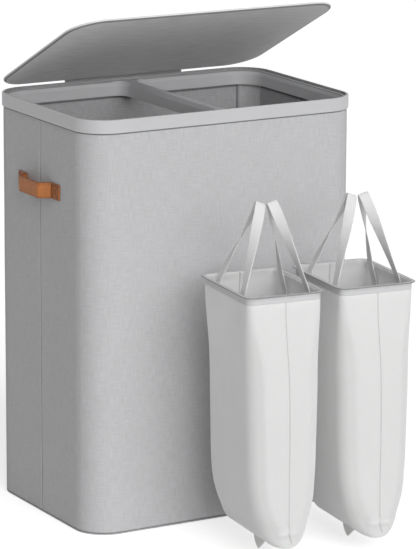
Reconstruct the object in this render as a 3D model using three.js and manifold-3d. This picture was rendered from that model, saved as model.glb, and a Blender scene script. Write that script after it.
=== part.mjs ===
// Laundry hamper with a hinged lid, two mouths in one moulded rim, and two liner bags.
// Millimetres, +Z up. The origin is the centre of the hamper's base, on the floor.
// +X is the right-hand side seen from the front, and the front faces -Y.
import * as THREE from 'three';
import { mergeVertices } from 'three/addons/utils/BufferGeometryUtils.js';
import Module from 'manifold-3d';

const wasm = await Module();
wasm.setup();

// Overall size of the hamper, measured over the rim
const hamperWidth = 520;
const hamperDepth = 358;
const hamperHeight = 702;
const cornerRadius = 57;

// Clearance between pieces that touch, and how far a cutting tool runs past its work
const fitGap = 0.3;
const cutOverrun = 1;

// Rim: outer band, raised lip, ledge for the lid, sloped lead-in and inner walls of the mouths
const bandHeight = 22.5;
const bandWall = 2.2;
const lipWidth = 4.3;
const lipHeight = 4.2;
const ledgeWidth = 5.1;
const ledgeThickness = 2;
const leadInWidth = 2.8;
const leadInDrop = 7.6;
const mouthDepth = 29;
const mouthDraft = 1.2;
const mouthWall = 2;
const dividerFlat = 12;
const dividerCornerRadius = 30;
const dividerGrooveWidth = 1.6;
const dividerGrooveDepth = 0.8;
const edgeBevel = 0.8;

// Fabric cover and the boards that stand in it
const coverThickness = 2;
const creaseWidth = 2.4;
const creaseDepth = 0.8;
const boardThickness = 4;
const boardTopDrop = 12;
const boardCreaseGap = 3;
const boardEndTrim = 3;
const baseBoardThickness = 3.7;

// Lid: moulded panel with a fabric lining underneath
const lidSideInset = 8;
const lidBackInset = 7.2;
const lidFrontInset = 4.6;
const lidCornerRadius = 55;
const lidPanelThickness = 3.9;
const liningThickness = 0.9;
const liningMargin = 2.6;
const lidRestOpening = THREE.MathUtils.degToRad(25.9);

// Lid hinge: a fabric strip sewn to the back of the cover and to the back edge of the lid
const hingeBack = 10.5;
const hingeDrop = 23.5;
const stripWidth = 230;
const stripThickness = 1.2;
const stripSewnHeight = 21;
const stripSewnDrop = 4;
const stripBandClearance = 0.6;

// Leather handles on the sides
const handleLength = 148;
const handleWidth = 27;
const handleThickness = 3;
const handleRise = 25;
const handlePatch = 28;
const handleDrop = 99;

// Liner bags: plastic rim, fabric bag, pull tab
const linerHeight = 452;
const linerWidth = 131;
const linerDepth = 180;
const linerCornerRadius = 12.6;
const linerFlange = 5.6;
const linerFlangeThickness = 1.5;
const linerBandHeight = 13;
const linerBandWall = 1.5;
const linerFabric = 1.6;
const linerBodyWidth = 123.2;
const linerBodyDepth = 186.4;
const linerBodyShiftX = 4;
const linerBodyShiftY = 2;
const linerHangHeight = 60;
const linerRoundHeight = 155;
const linerEndRoundHeight = 14;
const linerSeamHalfWidth = 2.6;
const pullTabDrop = 26.6;
const pullTabWidth = 46;
const pullTabThickness = 2;
const pullTabBack = 14;
const pullTabLean = 4;
const linerYaw = THREE.MathUtils.degToRad(-6);
const leftLinerX = -44.1;
const rightLinerX = 120.3;
const leftLinerFront = 367.1;
const rightLinerFront = 381.4;

// Webbing loops of the liner bags
const webbingWidth = 19;
const webbingThickness = 1.6;
const loopHalfSpan = 48;
const loopRise = 132;
const loopPivotInset = 54.7;
const loopPivotLift = 2;
const loopApexOffset = 10.2;
const loopApexShift = 5;
const loopFoldReach = 6;
const tailPeelDepth = 28;
const tailDepth = 46;

// Shares and counts that shape the curves
const loopLegShare = 0.8;
const loopTwistShare = 1.7;
const linerTaperShare = 0.156;
const linerDepthTaperShare = -0.05;
const linerEndShare = 0.96;
const linerRoundPower = 2.87;
const handleRampShare = 0.5;
const tabOutlineShares = [
  [-0.5, 0],
  [-0.4, 0.4],
  [-0.14, 0.92],
  [0, 1],
  [0.14, 0.92],
  [0.4, 0.4],
  [0.5, 0],
];
const cornerSteps = 9;
const smallCornerSteps = 6;
const roundSteps = 24;

// Levels and planes worked out from the driving sizes
const ledgeLevel = hamperHeight - lipHeight;
const bandFoot = hamperHeight - bandHeight;
const mouthFoot = hamperHeight - mouthDepth;
const coverInset = bandWall + fitGap;
const boardInset = coverInset + coverThickness + fitGap;
const baseBoardFoot = coverThickness + fitGap;
const boardFoot = baseBoardFoot + baseBoardThickness + fitGap;
const boardTop = hamperHeight - boardTopDrop;
const handleCentre = bandFoot - handleDrop - handleWidth / 2;
const hingeY = hamperDepth / 2 + hingeBack;
const hingeZ = hamperHeight - hingeDrop;
const lidUnderside = ledgeLevel + fitGap;
const panelUnderside = lidUnderside + liningThickness + fitGap;

// Materials
const finish = (color, roughness) => (name) => new THREE.MeshStandardMaterial({
  name,
  color,
  roughness,
  metalness: 0,
});
const plastic = finish(0xc4c4c6, 0.5);
const greyFabric = finish(0xb9b9bc, 0.9);
const boardFabric = finish(0x9a9a9d, 0.92);
const liningFabric = finish(0x8c8c90, 0.92);
const stripFabric = finish(0x85858a, 0.92);
const leather = finish(0xa8672f, 0.55);
const whiteFabric = finish(0xe6e6e4, 0.85);
const webbing = finish(0xc9c9c9, 0.8);

// Points of a rounded rectangle at one height, counter-clockwise from above.
// radii are given for the corners (+x +y), (-x +y), (-x -y), (+x -y).
function roundedRing({ x = 0, y = 0, halfX, halfY, radii, z, steps = cornerSteps }) {
  const signs = [[1, 1], [-1, 1], [-1, -1], [1, -1]];
  return signs.flatMap(([sx, sy], corner) => {
    const radius = Math.max(Math.min(radii[corner], halfX, halfY), 0);
    return Array.from({ length: steps + 1 }, (_, step) => {
      const angle = (corner + step / steps) * Math.PI / 2;
      return new THREE.Vector3(
        x + sx * (halfX - radius) + radius * Math.cos(angle),
        y + sy * (halfY - radius) + radius * Math.sin(angle),
        z,
      );
    });
  });
}

// Closed solid through rings of equally many points, with a fan on its first and last ring
function loft(rings) {
  const count = rings[0].length;
  const middle = (ring) => ring
    .reduce((sum, point) => sum.add(point), new THREE.Vector3())
    .divideScalar(count);
  const points = [...rings.flat(), middle(rings[0]), middle(rings.at(-1))];
  const first = rings.length * count;
  const last = first + 1;
  const top = (rings.length - 1) * count;
  const index = [];
  for (let i = 0; i < count; i += 1) {
    const next = (i + 1) % count;
    for (let level = 0; level < top; level += count) {
      index.push(level + i, level + next, level + count + next);
      index.push(level + i, level + count + next, level + count + i);
    }
    index.push(first, next, i);
    index.push(last, top + i, top + next);
  }
  const geometry = new THREE.BufferGeometry().setFromPoints(points);
  geometry.setIndex(index);
  return geometry;
}

// three.js geometry to a manifold solid and back
function solid(geometry) {
  const bare = geometry.clone();
  bare.deleteAttribute('normal');
  bare.deleteAttribute('uv');
  const merged = mergeVertices(bare);
  return new wasm.Manifold(new wasm.Mesh({
    numProp: 3,
    vertProperties: new Float32Array(merged.attributes.position.array),
    triVerts: new Uint32Array(merged.index.array),
  }));
}

function geometryOf(manifold) {
  const mesh = manifold.getMesh();
  const geometry = new THREE.BufferGeometry();
  const positions = new Float32Array(mesh.vertProperties);
  geometry.setAttribute('position', new THREE.BufferAttribute(positions, mesh.numProp));
  geometry.setIndex(new THREE.BufferAttribute(new Uint32Array(mesh.triVerts), 1));
  return geometry;
}

const joined = (parts) => parts.reduce((whole, part) => whole.add(part));

function piece(name, source, material) {
  const geometry = source.isBufferGeometry ? source : geometryOf(source);
  geometry.computeVertexNormals();
  const mesh = new THREE.Mesh(geometry, material(name));
  mesh.name = name;
  return mesh;
}

// Solid with the hamper's plan, inset from the rim's outer face at each listed height
function planSolid(levels) {
  return solid(loft(levels.map(([inset, z]) => roundedRing({
    halfX: hamperWidth / 2 - inset,
    halfY: hamperDepth / 2 - inset,
    radii: Array(4).fill(cornerRadius - inset),
    z,
  }))));
}

const planBlock = (inset, low, high) => planSolid([[inset, low], [inset, high]]);

function boxSolid([x0, y0, z0], [x1, y1, z1]) {
  const geometry = new THREE.BoxGeometry(x1 - x0, y1 - y0, z1 - z0);
  return solid(geometry.translate((x0 + x1) / 2, (y0 + y1) / 2, (z0 + z1) / 2));
}

// Extrusion of a side profile, drawn in (y, z), from x = from to x = to
function sideExtrusion(points, from, to, holes = []) {
  const shape = new THREE.Shape(points);
  shape.holes = holes.map((hole) => new THREE.Path(hole));
  const geometry = new THREE.ExtrudeGeometry(shape, { depth: to - from, bevelEnabled: false });
  const axes = new THREE.Matrix4().makeBasis(
    new THREE.Vector3(0, 1, 0),
    new THREE.Vector3(0, 0, 1),
    new THREE.Vector3(1, 0, 0),
  );
  return solid(geometry.applyMatrix4(axes).translate(from, 0, 0));
}

// Funnel of one mouth, grown outwards by grow, through its ledge, slope and wall levels.
// side is -1 for the left mouth and 1 for the right one.
function mouthFunnel(side, grow, topLevel, footLevel) {
  const slopeFoot = ledgeLevel - leadInDrop;
  const levels = [
    [leadInWidth + mouthDraft, footLevel],
    [leadInWidth + mouthDraft, mouthFoot],
    [leadInWidth, slopeFoot],
    [0, ledgeLevel],
    [0, topLevel],
  ].filter(([, z], i, all) => i === 0 || z > all[i - 1][1]);
  return solid(loft(levels.map(([step, z]) => {
    const inset = lipWidth + ledgeWidth + step - grow;
    const outer = hamperWidth / 2 - inset;
    const inner = dividerFlat / 2 + step - grow;
    const cornerOuter = cornerRadius - inset;
    const cornerInner = dividerCornerRadius - step + grow;
    const radii = side > 0
      ? [cornerOuter, cornerInner, cornerInner, cornerOuter]
      : [cornerInner, cornerOuter, cornerOuter, cornerInner];
    return roundedRing({
      x: side * (outer + inner) / 2,
      halfX: (outer - inner) / 2,
      halfY: hamperDepth / 2 - inset,
      radii,
      z,
    });
  })));
}

function rimFrame() {
  const body = planSolid([
    [edgeBevel, bandFoot],
    [0, bandFoot + edgeBevel],
    [0, hamperHeight - edgeBevel],
    [edgeBevel, hamperHeight],
  ]);
  const channel = planBlock(bandWall, bandFoot - cutOverrun, ledgeLevel - ledgeThickness);
  const recess = planBlock(lipWidth, ledgeLevel, hamperHeight + cutOverrun);
  const sides = [-1, 1];
  const wallTop = ledgeLevel - ledgeThickness / 2;
  const walls = sides.map((side) => mouthFunnel(side, mouthWall, wallTop, mouthFoot));
  const mouths = sides.map((side) => mouthFunnel(side, 0, ledgeLevel + cutOverrun, mouthFoot - cutOverrun));
  const grooveEnd = hamperDepth / 2 - lipWidth - ledgeWidth;
  const groove = loft([grooveEnd, -grooveEnd].map((y) => [
    new THREE.Vector3(-dividerGrooveWidth / 2, y, ledgeLevel + cutOverrun),
    new THREE.Vector3(-dividerGrooveWidth / 2, y, ledgeLevel),
    new THREE.Vector3(0, y, ledgeLevel - dividerGrooveDepth),
    new THREE.Vector3(dividerGrooveWidth / 2, y, ledgeLevel),
    new THREE.Vector3(dividerGrooveWidth / 2, y, ledgeLevel + cutOverrun),
  ]));
  return joined([body.subtract(channel).subtract(recess), ...walls])
    .subtract(joined(mouths))
    .subtract(solid(groove));
}

// Fabric cover: walls with a fold crease down the middle of each side
function coverWalls() {
  const low = coverThickness + fitGap;
  const high = ledgeLevel - ledgeThickness - fitGap;
  const outside = hamperWidth / 2 - coverInset;
  const walls = planBlock(coverInset, low, high)
    .subtract(planBlock(coverInset + coverThickness, low - cutOverrun, high + cutOverrun));
  const creases = [-1, 1].map((side) => {
    const outline = [
      [outside - creaseDepth, 0],
      [outside + creaseDepth, -creaseWidth],
      [outside + creaseDepth, creaseWidth],
    ].map(([x, y]) => [side * x, side * y]);
    const ring = (z) => outline.map(([x, y]) => new THREE.Vector3(x, y, z));
    return solid(loft([ring(low - cutOverrun), ring(high + cutOverrun)]));
  });
  return walls.subtract(joined(creases));
}

function coverBottom() {
  return planSolid([
    [coverInset + edgeBevel, 0],
    [coverInset, edgeBevel],
    [coverInset, coverThickness],
  ]);
}

// Boards: a flat slab kept inside the cover, so that its ends follow the cover's corners
const boardRoom = planBlock(boardInset, boardFoot, boardTop);
const boardCorner = cornerRadius - boardInset;
const cornerReach = Math.sqrt(boardCorner ** 2 - (boardCorner - boardThickness) ** 2);
const wideBoardEnd = hamperWidth / 2 - cornerRadius + cornerReach - boardEndTrim;
const sideBoardEnd = hamperDepth / 2 - cornerRadius + cornerReach - boardEndTrim;

function wideBoard(side) {
  const outer = side * (hamperDepth / 2 - boardInset);
  const inner = outer - side * boardThickness;
  return boardRoom.intersect(boxSolid(
    [-wideBoardEnd, Math.min(inner, outer), 0],
    [wideBoardEnd, Math.max(inner, outer), hamperHeight],
  ));
}

function sideBoard(side, half) {
  const outer = side * (hamperWidth / 2 - boardInset);
  const inner = outer - side * boardThickness;
  const ends = [half * boardCreaseGap / 2, half * sideBoardEnd];
  return boardRoom.intersect(boxSolid(
    [Math.min(inner, outer), Math.min(...ends), 0],
    [Math.max(inner, outer), Math.max(...ends), hamperHeight],
  ));
}

// Flat ribbon with a thickness, through stations { at, across, width, thickness }.
// across is the unit vector of its width, square to the direction of travel.
function ribbon(stations) {
  return loft(stations.map(({ at, along, across, width, thickness }) => {
    const up = new THREE.Vector3().crossVectors(along, across).normalize();
    const corner = (a, b) => at.clone()
      .addScaledVector(across, a * width / 2)
      .addScaledVector(up, b * thickness / 2);
    return [corner(-1, -1), corner(1, -1), corner(1, 1), corner(-1, 1)];
  }));
}

// Flat ribbon along a run of points, its direction at each taken from the points beside it
function ribbonAlong(points, across, width, thickness) {
  return ribbon(points.map((at, i) => {
    const before = points[Math.max(i - 1, 0)];
    const after = points[Math.min(i + 1, points.length - 1)];
    return { at, along: after.clone().sub(before).normalize(), across, width, thickness };
  }));
}

// Leather handle: two flat patches on the cover and an arch between them, with ramps at its ends
function handle(side) {
  const wall = hamperWidth / 2 - coverInset + fitGap + handleThickness / 2;
  const archHalf = handleLength / 2 - handlePatch;
  const steps = 2 * roundSteps;
  const points = Array.from({ length: steps + 1 }, (_, i) => {
    const y = side * handleLength * (i / steps - 1 / 2);
    const ramp = THREE.MathUtils.smoothstep(archHalf - Math.abs(y), 0, handleRampShare * archHalf);
    return new THREE.Vector3(side * (wall + ramp * handleRise), y, handleCentre);
  });
  return ribbonAlong(points, new THREE.Vector3(0, 0, 1), handleWidth, handleThickness);
}

// Plan ring of the lid at a margin inside its outline
function lidRing(margin, z) {
  const front = -hamperDepth / 2 + lidFrontInset;
  const back = hamperDepth / 2 - lidBackInset;
  return roundedRing({
    y: (front + back) / 2,
    halfX: hamperWidth / 2 - lidSideInset - margin,
    halfY: (back - front) / 2 - margin,
    radii: Array(4).fill(lidCornerRadius - margin),
    z,
  });
}

// Lid panel with a rounded edge
const lidEdgeRadius = lidPanelThickness / 2;

function lidPanel() {
  return loft([-90, -50, -15, 15, 50, 90].map((degrees) => {
    const angle = THREE.MathUtils.degToRad(degrees);
    const margin = lidEdgeRadius * (1 - Math.cos(angle));
    return lidRing(margin, panelUnderside + lidEdgeRadius * (1 + Math.sin(angle)));
  }));
}

function lidLining() {
  return loft([
    lidRing(liningMargin + liningThickness / 2, lidUnderside),
    lidRing(liningMargin, lidUnderside + liningThickness / 2),
    lidRing(liningMargin, lidUnderside + liningThickness),
  ]);
}

// Place in (y, z) that a point of the closed lid takes with the lid at rest
function onOpenLid(y, z) {
  const arm = new THREE.Vector2(y - hingeY, z - hingeZ).rotateAround(new THREE.Vector2(), -lidRestOpening);
  return new THREE.Vector3(0, hingeY + arm.x, hingeZ + arm.y);
}

// Hinge strip: flat on the cover, out round the foot of the band, and up to the lid's back edge
function hingeStrip() {
  const onCover = hamperDepth / 2 - coverInset + fitGap + stripThickness / 2;
  const behindBand = hamperDepth / 2 + stripBandClearance + stripThickness / 2;
  const sewnTop = bandFoot - stripSewnDrop;
  const onEdge = hamperDepth / 2 - lidBackInset + fitGap + stripThickness / 2;
  const edgeMiddle = panelUnderside + lidEdgeRadius;
  const sewnFoot = new THREE.Vector3(0, onCover, sewnTop - stripSewnHeight);
  const curve = new THREE.CatmullRomCurve3([
    new THREE.Vector3(0, onCover, sewnTop),
    new THREE.Vector3(0, behindBand, bandFoot),
    new THREE.Vector3(0, behindBand, (bandFoot + hamperHeight) / 2),
    onOpenLid(onEdge, edgeMiddle - lidEdgeRadius),
    onOpenLid(onEdge, edgeMiddle + lidEdgeRadius / 2),
  ], false, 'centripetal');
  const points = [sewnFoot, ...curve.getSpacedPoints(roundSteps)];
  return ribbonAlong(points, new THREE.Vector3(-1, 0, 0), stripWidth, stripThickness);
}

// Liner bag sizes at a height above its bottom seam. The body hangs from the hem, narrows downwards,
// and its sides and ends round in to the seam along a superellipse.
const linerSeam = pullTabDrop + fitGap;
const linerReach = linerHeight - linerSeam;
const hemFoot = linerReach - linerBandHeight;
const roundIn = (share) => (1 - (1 - Math.min(share, 1)) ** linerRoundPower) ** (1 / linerRoundPower);
const hangShare = (height) => THREE.MathUtils.smoothstep(hemFoot - height, 0, linerHangHeight);

function linerHalfWidth(height) {
  const body = linerBodyWidth * (1 - linerTaperShare * (1 - height / linerReach));
  const width = THREE.MathUtils.lerp(linerWidth, body, hangShare(height));
  return Math.max(width / 2 * roundIn(height / linerRoundHeight), linerSeamHalfWidth);
}

function linerHalfDepth(height) {
  const body = linerBodyDepth * (1 - linerDepthTaperShare * (1 - height / linerReach));
  const depth = THREE.MathUtils.lerp(linerDepth, body, hangShare(height));
  return depth / 2 * THREE.MathUtils.lerp(linerEndShare, 1, roundIn(height / linerEndRoundHeight));
}

function linerRing(height, inset, tuck = 0) {
  const halfX = linerHalfWidth(height);
  const drawnIn = inset + tuck;
  const corner = Math.min(linerCornerRadius, halfX) - drawnIn;
  return roundedRing({
    x: linerBodyShiftX * hangShare(height),
    y: linerBodyShiftY * hangShare(height),
    halfX: halfX - drawnIn,
    halfY: linerHalfDepth(height) - drawnIn,
    radii: Array(4).fill(Math.max(corner, linerSeamHalfWidth / 2)),
    z: linerSeam + height,
    steps: smallCornerSteps,
  });
}

function linerBag() {
  const hemTop = linerReach - linerFlangeThickness - fitGap;
  const roundShares = [0, 0.004, 0.02, 0.05, 0.1, 0.18, 0.3, 0.48, 0.72, 1];
  const hangShares = [1, 0.6, 0.3, 0.1];
  const heights = [
    ...roundShares.map((share) => share * linerRoundHeight),
    (linerRoundHeight + hemFoot - linerHangHeight) / 2,
    ...hangShares.map((share) => hemFoot - share * linerHangHeight),
  ];
  const floorIndex = 3;
  const outer = [
    ...heights.map((height) => linerRing(height, 0)),
    linerRing(hemFoot, 0, linerBandWall),
    linerRing(hemTop, 0, linerBandWall),
  ];
  const inner = [
    ...heights.slice(floorIndex).map((height) => linerRing(height, linerFabric)),
    linerRing(hemFoot, linerFabric, linerBandWall),
    linerRing(hemTop + cutOverrun, linerFabric, linerBandWall),
  ];
  inner[0].forEach((point) => point.setZ(linerSeam + heights[floorIndex] + linerFabric));
  return solid(loft(outer)).subtract(solid(loft(inner)));
}

function linerRim() {
  const level = (grow, z) => roundedRing({
    halfX: linerWidth / 2 + grow,
    halfY: linerDepth / 2 + grow,
    radii: Array(4).fill(linerCornerRadius + grow),
    z,
    steps: smallCornerSteps,
  });
  const band = fitGap;
  const flangeFoot = linerHeight - linerFlangeThickness;
  const halfFlange = linerFlangeThickness / 2;
  const outer = solid(loft([
    level(band, linerHeight - linerBandHeight),
    level(band, flangeFoot),
    level(band + linerFlange - halfFlange, flangeFoot),
    level(band + linerFlange, flangeFoot + halfFlange),
    level(band + linerFlange - halfFlange, linerHeight),
  ]));
  const hole = solid(loft([
    level(band - linerBandWall, linerHeight - linerBandHeight - cutOverrun),
    level(band - linerBandWall, linerHeight + cutOverrun),
  ]));
  return outer.subtract(hole);
}

// Pull tab: webbing folded to a point under the middle of the bottom seam
function pullTab() {
  const outline = tabOutlineShares.map(([along, down]) => new THREE.Vector2(
    along * pullTabWidth,
    pullTabDrop * (1 - down),
  ));
  const smooth = new THREE.SplineCurve(outline).getPoints(roundSteps);
  return sideExtrusion(smooth, -pullTabThickness / 2, pullTabThickness / 2)
    .warp((point) => {
      point[0] += linerBodyShiftX - pullTabLean * (1 - point[2] / pullTabDrop);
      point[1] += pullTabBack;
    });
}

// Webbing loop on one side of a liner: two legs that lean in, meet in a fold and twist a quarter turn.
// Each leg is a cubic Bezier that runs straight from its foot to the tight fold at the top.
function strapLoop(side) {
  const pivot = new THREE.Vector3(side * loopPivotInset, 0, linerHeight + loopPivotLift);
  const apex = new THREE.Vector3(side * loopApexOffset + loopApexShift, 0, linerHeight + loopRise);
  const up = apex.clone().sub(pivot);
  const rise = up.length();
  up.normalize();
  const back = new THREE.Vector3(0, 1, 0);
  const normal = new THREE.Vector3().crossVectors(back, up).normalize();
  const inPlane = (y, height) => pivot.clone().addScaledVector(back, y).addScaledVector(up, height);
  const leg = (end) => {
    const foot = inPlane(end * loopHalfSpan, 0);
    const fold = inPlane(end * loopFoldReach, rise);
    const lower = foot.clone().lerp(fold, loopLegShare);
    return new THREE.CubicBezierCurve3(foot, lower, fold, inPlane(0, rise));
  };
  const station = (end, at, along, thickness) => {
    const height = at.clone().sub(pivot).dot(up) / rise;
    const turn = Math.PI / 2 * (1 - Math.max(height, 0) ** loopTwistShare);
    const across = normal.clone().multiplyScalar(Math.cos(turn)).addScaledVector(back, end * Math.sin(turn));
    return { at, along, across, width: webbingWidth, thickness };
  };
  // The foot ends in a half round about the pivot line, so that it turns on the tail's end
  const foot = (end, along) => [75, 40].map((degrees) => {
    const angle = THREE.MathUtils.degToRad(degrees);
    const at = inPlane(end * loopHalfSpan, -Math.sin(angle) * webbingThickness / 2);
    return station(end, at, along, Math.cos(angle) * webbingThickness);
  });
  const front = leg(-1);
  const rear = leg(1);
  const steps = roundSteps;
  const rising = Array.from({ length: steps }, (_, i) => station(
    -1,
    front.getPointAt(i / steps),
    front.getTangentAt(i / steps),
    webbingThickness,
  ));
  const falling = Array.from({ length: steps }, (_, i) => station(
    1,
    rear.getPointAt(i / steps),
    rear.getTangentAt(i / steps).negate(),
    webbingThickness,
  )).reverse();
  const fold = station(1, inPlane(0, rise), back, webbingThickness);
  const down = up.clone().negate();
  return ribbon([...foot(-1, up), ...rising, fold, ...falling, ...foot(1, down).reverse()]);
}

// Sewn tail of a loop's leg: down from the pivot, in to the wall, and flat on the wall's inside
function strapTail(side, end) {
  const onWall = (z) => {
    const height = z - linerSeam;
    const inside = linerHalfWidth(height) - linerFabric - fitGap - webbingThickness / 2;
    return side * inside + linerBodyShiftX * hangShare(height);
  };
  const peel = linerHeight - tailPeelDepth;
  const foot = linerHeight - tailDepth;
  const top = linerHeight + loopPivotLift - webbingThickness / 2 - fitGap;
  const y = end * loopHalfSpan;
  const curve = new THREE.CatmullRomCurve3([
    new THREE.Vector3(side * loopPivotInset, y, top),
    new THREE.Vector3((side * loopPivotInset + onWall(peel)) / 2, y, (top + peel) / 2),
    new THREE.Vector3(onWall(peel), y, peel),
  ], false, 'centripetal');
  const sewnFoot = new THREE.Vector3(onWall(foot), y, foot);
  const points = [...curve.getSpacedPoints(roundSteps / 2), sewnFoot];
  return ribbonAlong(points, new THREE.Vector3(0, 1, 0), webbingWidth, webbingThickness);
}

function liner(name, x, front) {
  const group = new THREE.Group();
  group.position.set(x, -front, 0);
  group.rotation.z = linerYaw;
  group.add(piece(`${name}_rim`, linerRim(), plastic));
  group.add(piece(`${name}_bag`, linerBag(), whiteFabric));
  for (const [sideName, side] of [['left', -1], ['right', 1]]) {
    group.add(piece(`${name}_${sideName}_strap`, strapLoop(side), webbing));
    group.add(piece(`${name}_${sideName}_front_tail`, strapTail(side, -1), webbing));
    group.add(piece(`${name}_${sideName}_back_tail`, strapTail(side, 1), webbing));
  }
  group.add(piece(`${name}_pull_tab`, pullTab(), webbing));
  return group;
}

// The lid is drawn closed and turned open about the hinge line
function lid() {
  const turned = new THREE.Group();
  turned.position.set(0, hingeY, hingeZ);
  turned.rotation.x = -lidRestOpening;
  const closed = new THREE.Group();
  closed.position.set(0, -hingeY, -hingeZ);
  closed.add(piece('lid_panel', lidPanel(), plastic));
  closed.add(piece('lid_lining', lidLining(), liningFabric));
  turned.add(closed);
  return turned;
}

function hamper() {
  const group = new THREE.Group();
  group.add(piece('rim_frame', rimFrame(), plastic));
  group.add(piece('cover_walls', coverWalls(), greyFabric));
  group.add(piece('cover_bottom', coverBottom(), greyFabric));
  group.add(piece('base_board', planBlock(boardInset, baseBoardFoot, boardFoot - fitGap), boardFabric));
  group.add(piece('front_board', wideBoard(-1), boardFabric));
  group.add(piece('back_board', wideBoard(1), boardFabric));
  for (const [sideName, side] of [['left', -1], ['right', 1]]) {
    group.add(piece(`${sideName}_front_board`, sideBoard(side, -1), boardFabric));
    group.add(piece(`${sideName}_back_board`, sideBoard(side, 1), boardFabric));
    group.add(piece(`${sideName}_handle`, handle(side), leather));
  }
  group.add(piece('hinge_strip', hingeStrip(), stripFabric));
  return group;
}

const model = new THREE.Group();
model.add(hamper());
model.add(lid());
model.add(liner('left_liner', leftLinerX, leftLinerFront));
model.add(liner('right_liner', rightLinerX, rightLinerFront));

export default model;
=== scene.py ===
"""Laundry hamper with a hinged lid, two mouths in one moulded rim, and two liner bags, dressed for rendering.

Metres, +Z up. The origin is the centre of the hamper's base, on the floor, and the front faces -Y.
"""
import logging
from collections.abc import Callable
from dataclasses import dataclass, field
from enum import Enum
from math import cos, pi, radians, sin
from typing import Any

import bmesh
import bpy
import numpy as np
from mathutils import Matrix


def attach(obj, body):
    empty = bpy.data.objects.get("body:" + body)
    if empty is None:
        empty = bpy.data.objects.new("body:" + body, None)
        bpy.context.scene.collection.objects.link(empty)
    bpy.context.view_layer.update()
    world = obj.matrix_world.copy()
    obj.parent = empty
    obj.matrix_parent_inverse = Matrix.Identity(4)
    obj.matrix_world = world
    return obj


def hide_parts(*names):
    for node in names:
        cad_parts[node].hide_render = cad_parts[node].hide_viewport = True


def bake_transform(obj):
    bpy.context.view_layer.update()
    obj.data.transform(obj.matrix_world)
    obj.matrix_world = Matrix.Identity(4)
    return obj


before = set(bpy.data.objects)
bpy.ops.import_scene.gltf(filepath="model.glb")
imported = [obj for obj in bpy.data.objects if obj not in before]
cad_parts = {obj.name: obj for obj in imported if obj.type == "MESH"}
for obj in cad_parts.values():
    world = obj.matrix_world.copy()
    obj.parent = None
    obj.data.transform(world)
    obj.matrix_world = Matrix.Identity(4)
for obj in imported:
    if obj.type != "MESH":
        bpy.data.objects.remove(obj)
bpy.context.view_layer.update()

LOG = logging.getLogger("hamper")
MM = 0.001
CLOTH = "cloth"
# Per-point attribute that the finishes darken by: painted shade in seams, creases, gaps and under parts, and
# on the handle's patches their darker leather.
SHADE = "shade"
THREAD_LIFT = 0.05 * MM

Array = np.ndarray
Colour = tuple[float, float, float]
Socket = bpy.types.NodeSocket
Piece = bpy.types.Object


class Side(Enum):
    """The two sides of the hamper, or of one liner bag, seen from the front."""

    LEFT = -1
    RIGHT = 1

    @property
    def word(self) -> str:
        """The side's name in the names of pieces."""
        return self.name.lower()


class Weave(Enum):
    """How the threads of a cloth cross."""

    PLAIN = "plain"
    CHEVRON = "chevron"


class Grain(Enum):
    """Which threads of a cloth show their thicker places."""

    BOTH = "both"
    ALONG = "along"


# Curves and surfaces as whole arrays


def smoothstep(x: Array, low: float, high: float) -> Array:
    """Eases from 0 at low to 1 at high: three times the square less twice the cube of the share."""
    share = np.clip((np.asarray(x, float) - low) / (high - low), 0, 1)
    return share * share * (3 - 2 * share)


def bell(x: Array, width: float) -> Array:
    """A bell curve: e to the power of minus the square of x over width."""
    return np.exp(-((np.asarray(x, float) / width) ** 2))


def ripple(x: Array, length: float, phase: Array = 0.0) -> Array:
    """An even wave of a length along x: the sine of a full turn for each length, plus a phase."""
    return np.sin(2 * pi * x / length + phase)


def arch(x: Array, half: Array) -> Array:
    """A low arch: the cosine of a quarter turn for each half, 1 in the middle and 0 at half and beyond."""
    return np.cos(pi / 2 * np.clip(x / half, -1, 1))


def lengths_along(points: Array) -> Array:
    """Distance along a run of points, from its first one, at each point."""
    steps = np.linalg.norm(np.diff(points, axis=0), axis=1)
    return np.concatenate([[0], np.cumsum(steps)])


def at_lengths(points: Array, wanted: Array) -> Array:
    """The points of a run at wanted distances along it."""
    along = lengths_along(points)
    return np.stack([np.interp(wanted, along, column) for column in points.T], axis=1)


def evenly(points: Array, count: int) -> Array:
    """A run of points resampled to count points at equal distances along it."""
    return at_lengths(points, np.linspace(0, lengths_along(points)[-1], count))


def through(points: Array, steps: int = 24) -> Array:
    """A smooth run through points: a centripetal Catmull-Rom curve, one cubic between each pair of points.

    Each tangent weighs the slopes on both sides by the square root of the distances there, and the ends
    take a point mirrored beyond them.

    Args:
        points: The points to pass, one a row.
        steps: How many pieces each cubic is cut into.

    Returns:
        The points of the whole run.
    """
    whole = np.vstack([2 * points[0] - points[1], points, 2 * points[-1] - points[-2]])
    gaps = np.sqrt(np.linalg.norm(np.diff(whole, axis=0), axis=1))[:, None]
    a, b, c, d = whole[:-3], whole[1:-2], whole[2:-1], whole[3:]
    before, here, after = gaps[:-2], gaps[1:-1], gaps[2:]
    leave = ((b - a) / before - (c - a) / (before + here) + (c - b) / here) * here
    arrive = ((c - b) / here - (d - b) / (here + after) + (d - c) / after) * here
    t = np.linspace(0, 1, steps, endpoint=False)[None, :, None]
    b, c, leave, arrive = (part[:, None, :] for part in (b, c, leave, arrive))
    run = b + leave * t + (3 * (c - b) - 2 * leave - arrive) * t**2 + (2 * (b - c) + leave + arrive) * t**3
    return np.vstack([run.reshape(-1, points.shape[1]), points[-1]])


def bezier(points: Array, count: int) -> Array:
    """A cubic Bezier curve through its first and last of four points, as count points."""
    t = np.linspace(0, 1, count)[:, None]
    a, b, c, d = points
    return a * (1 - t) ** 3 + 3 * b * t * (1 - t) ** 2 + 3 * c * t**2 * (1 - t) + d * t**3


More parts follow.
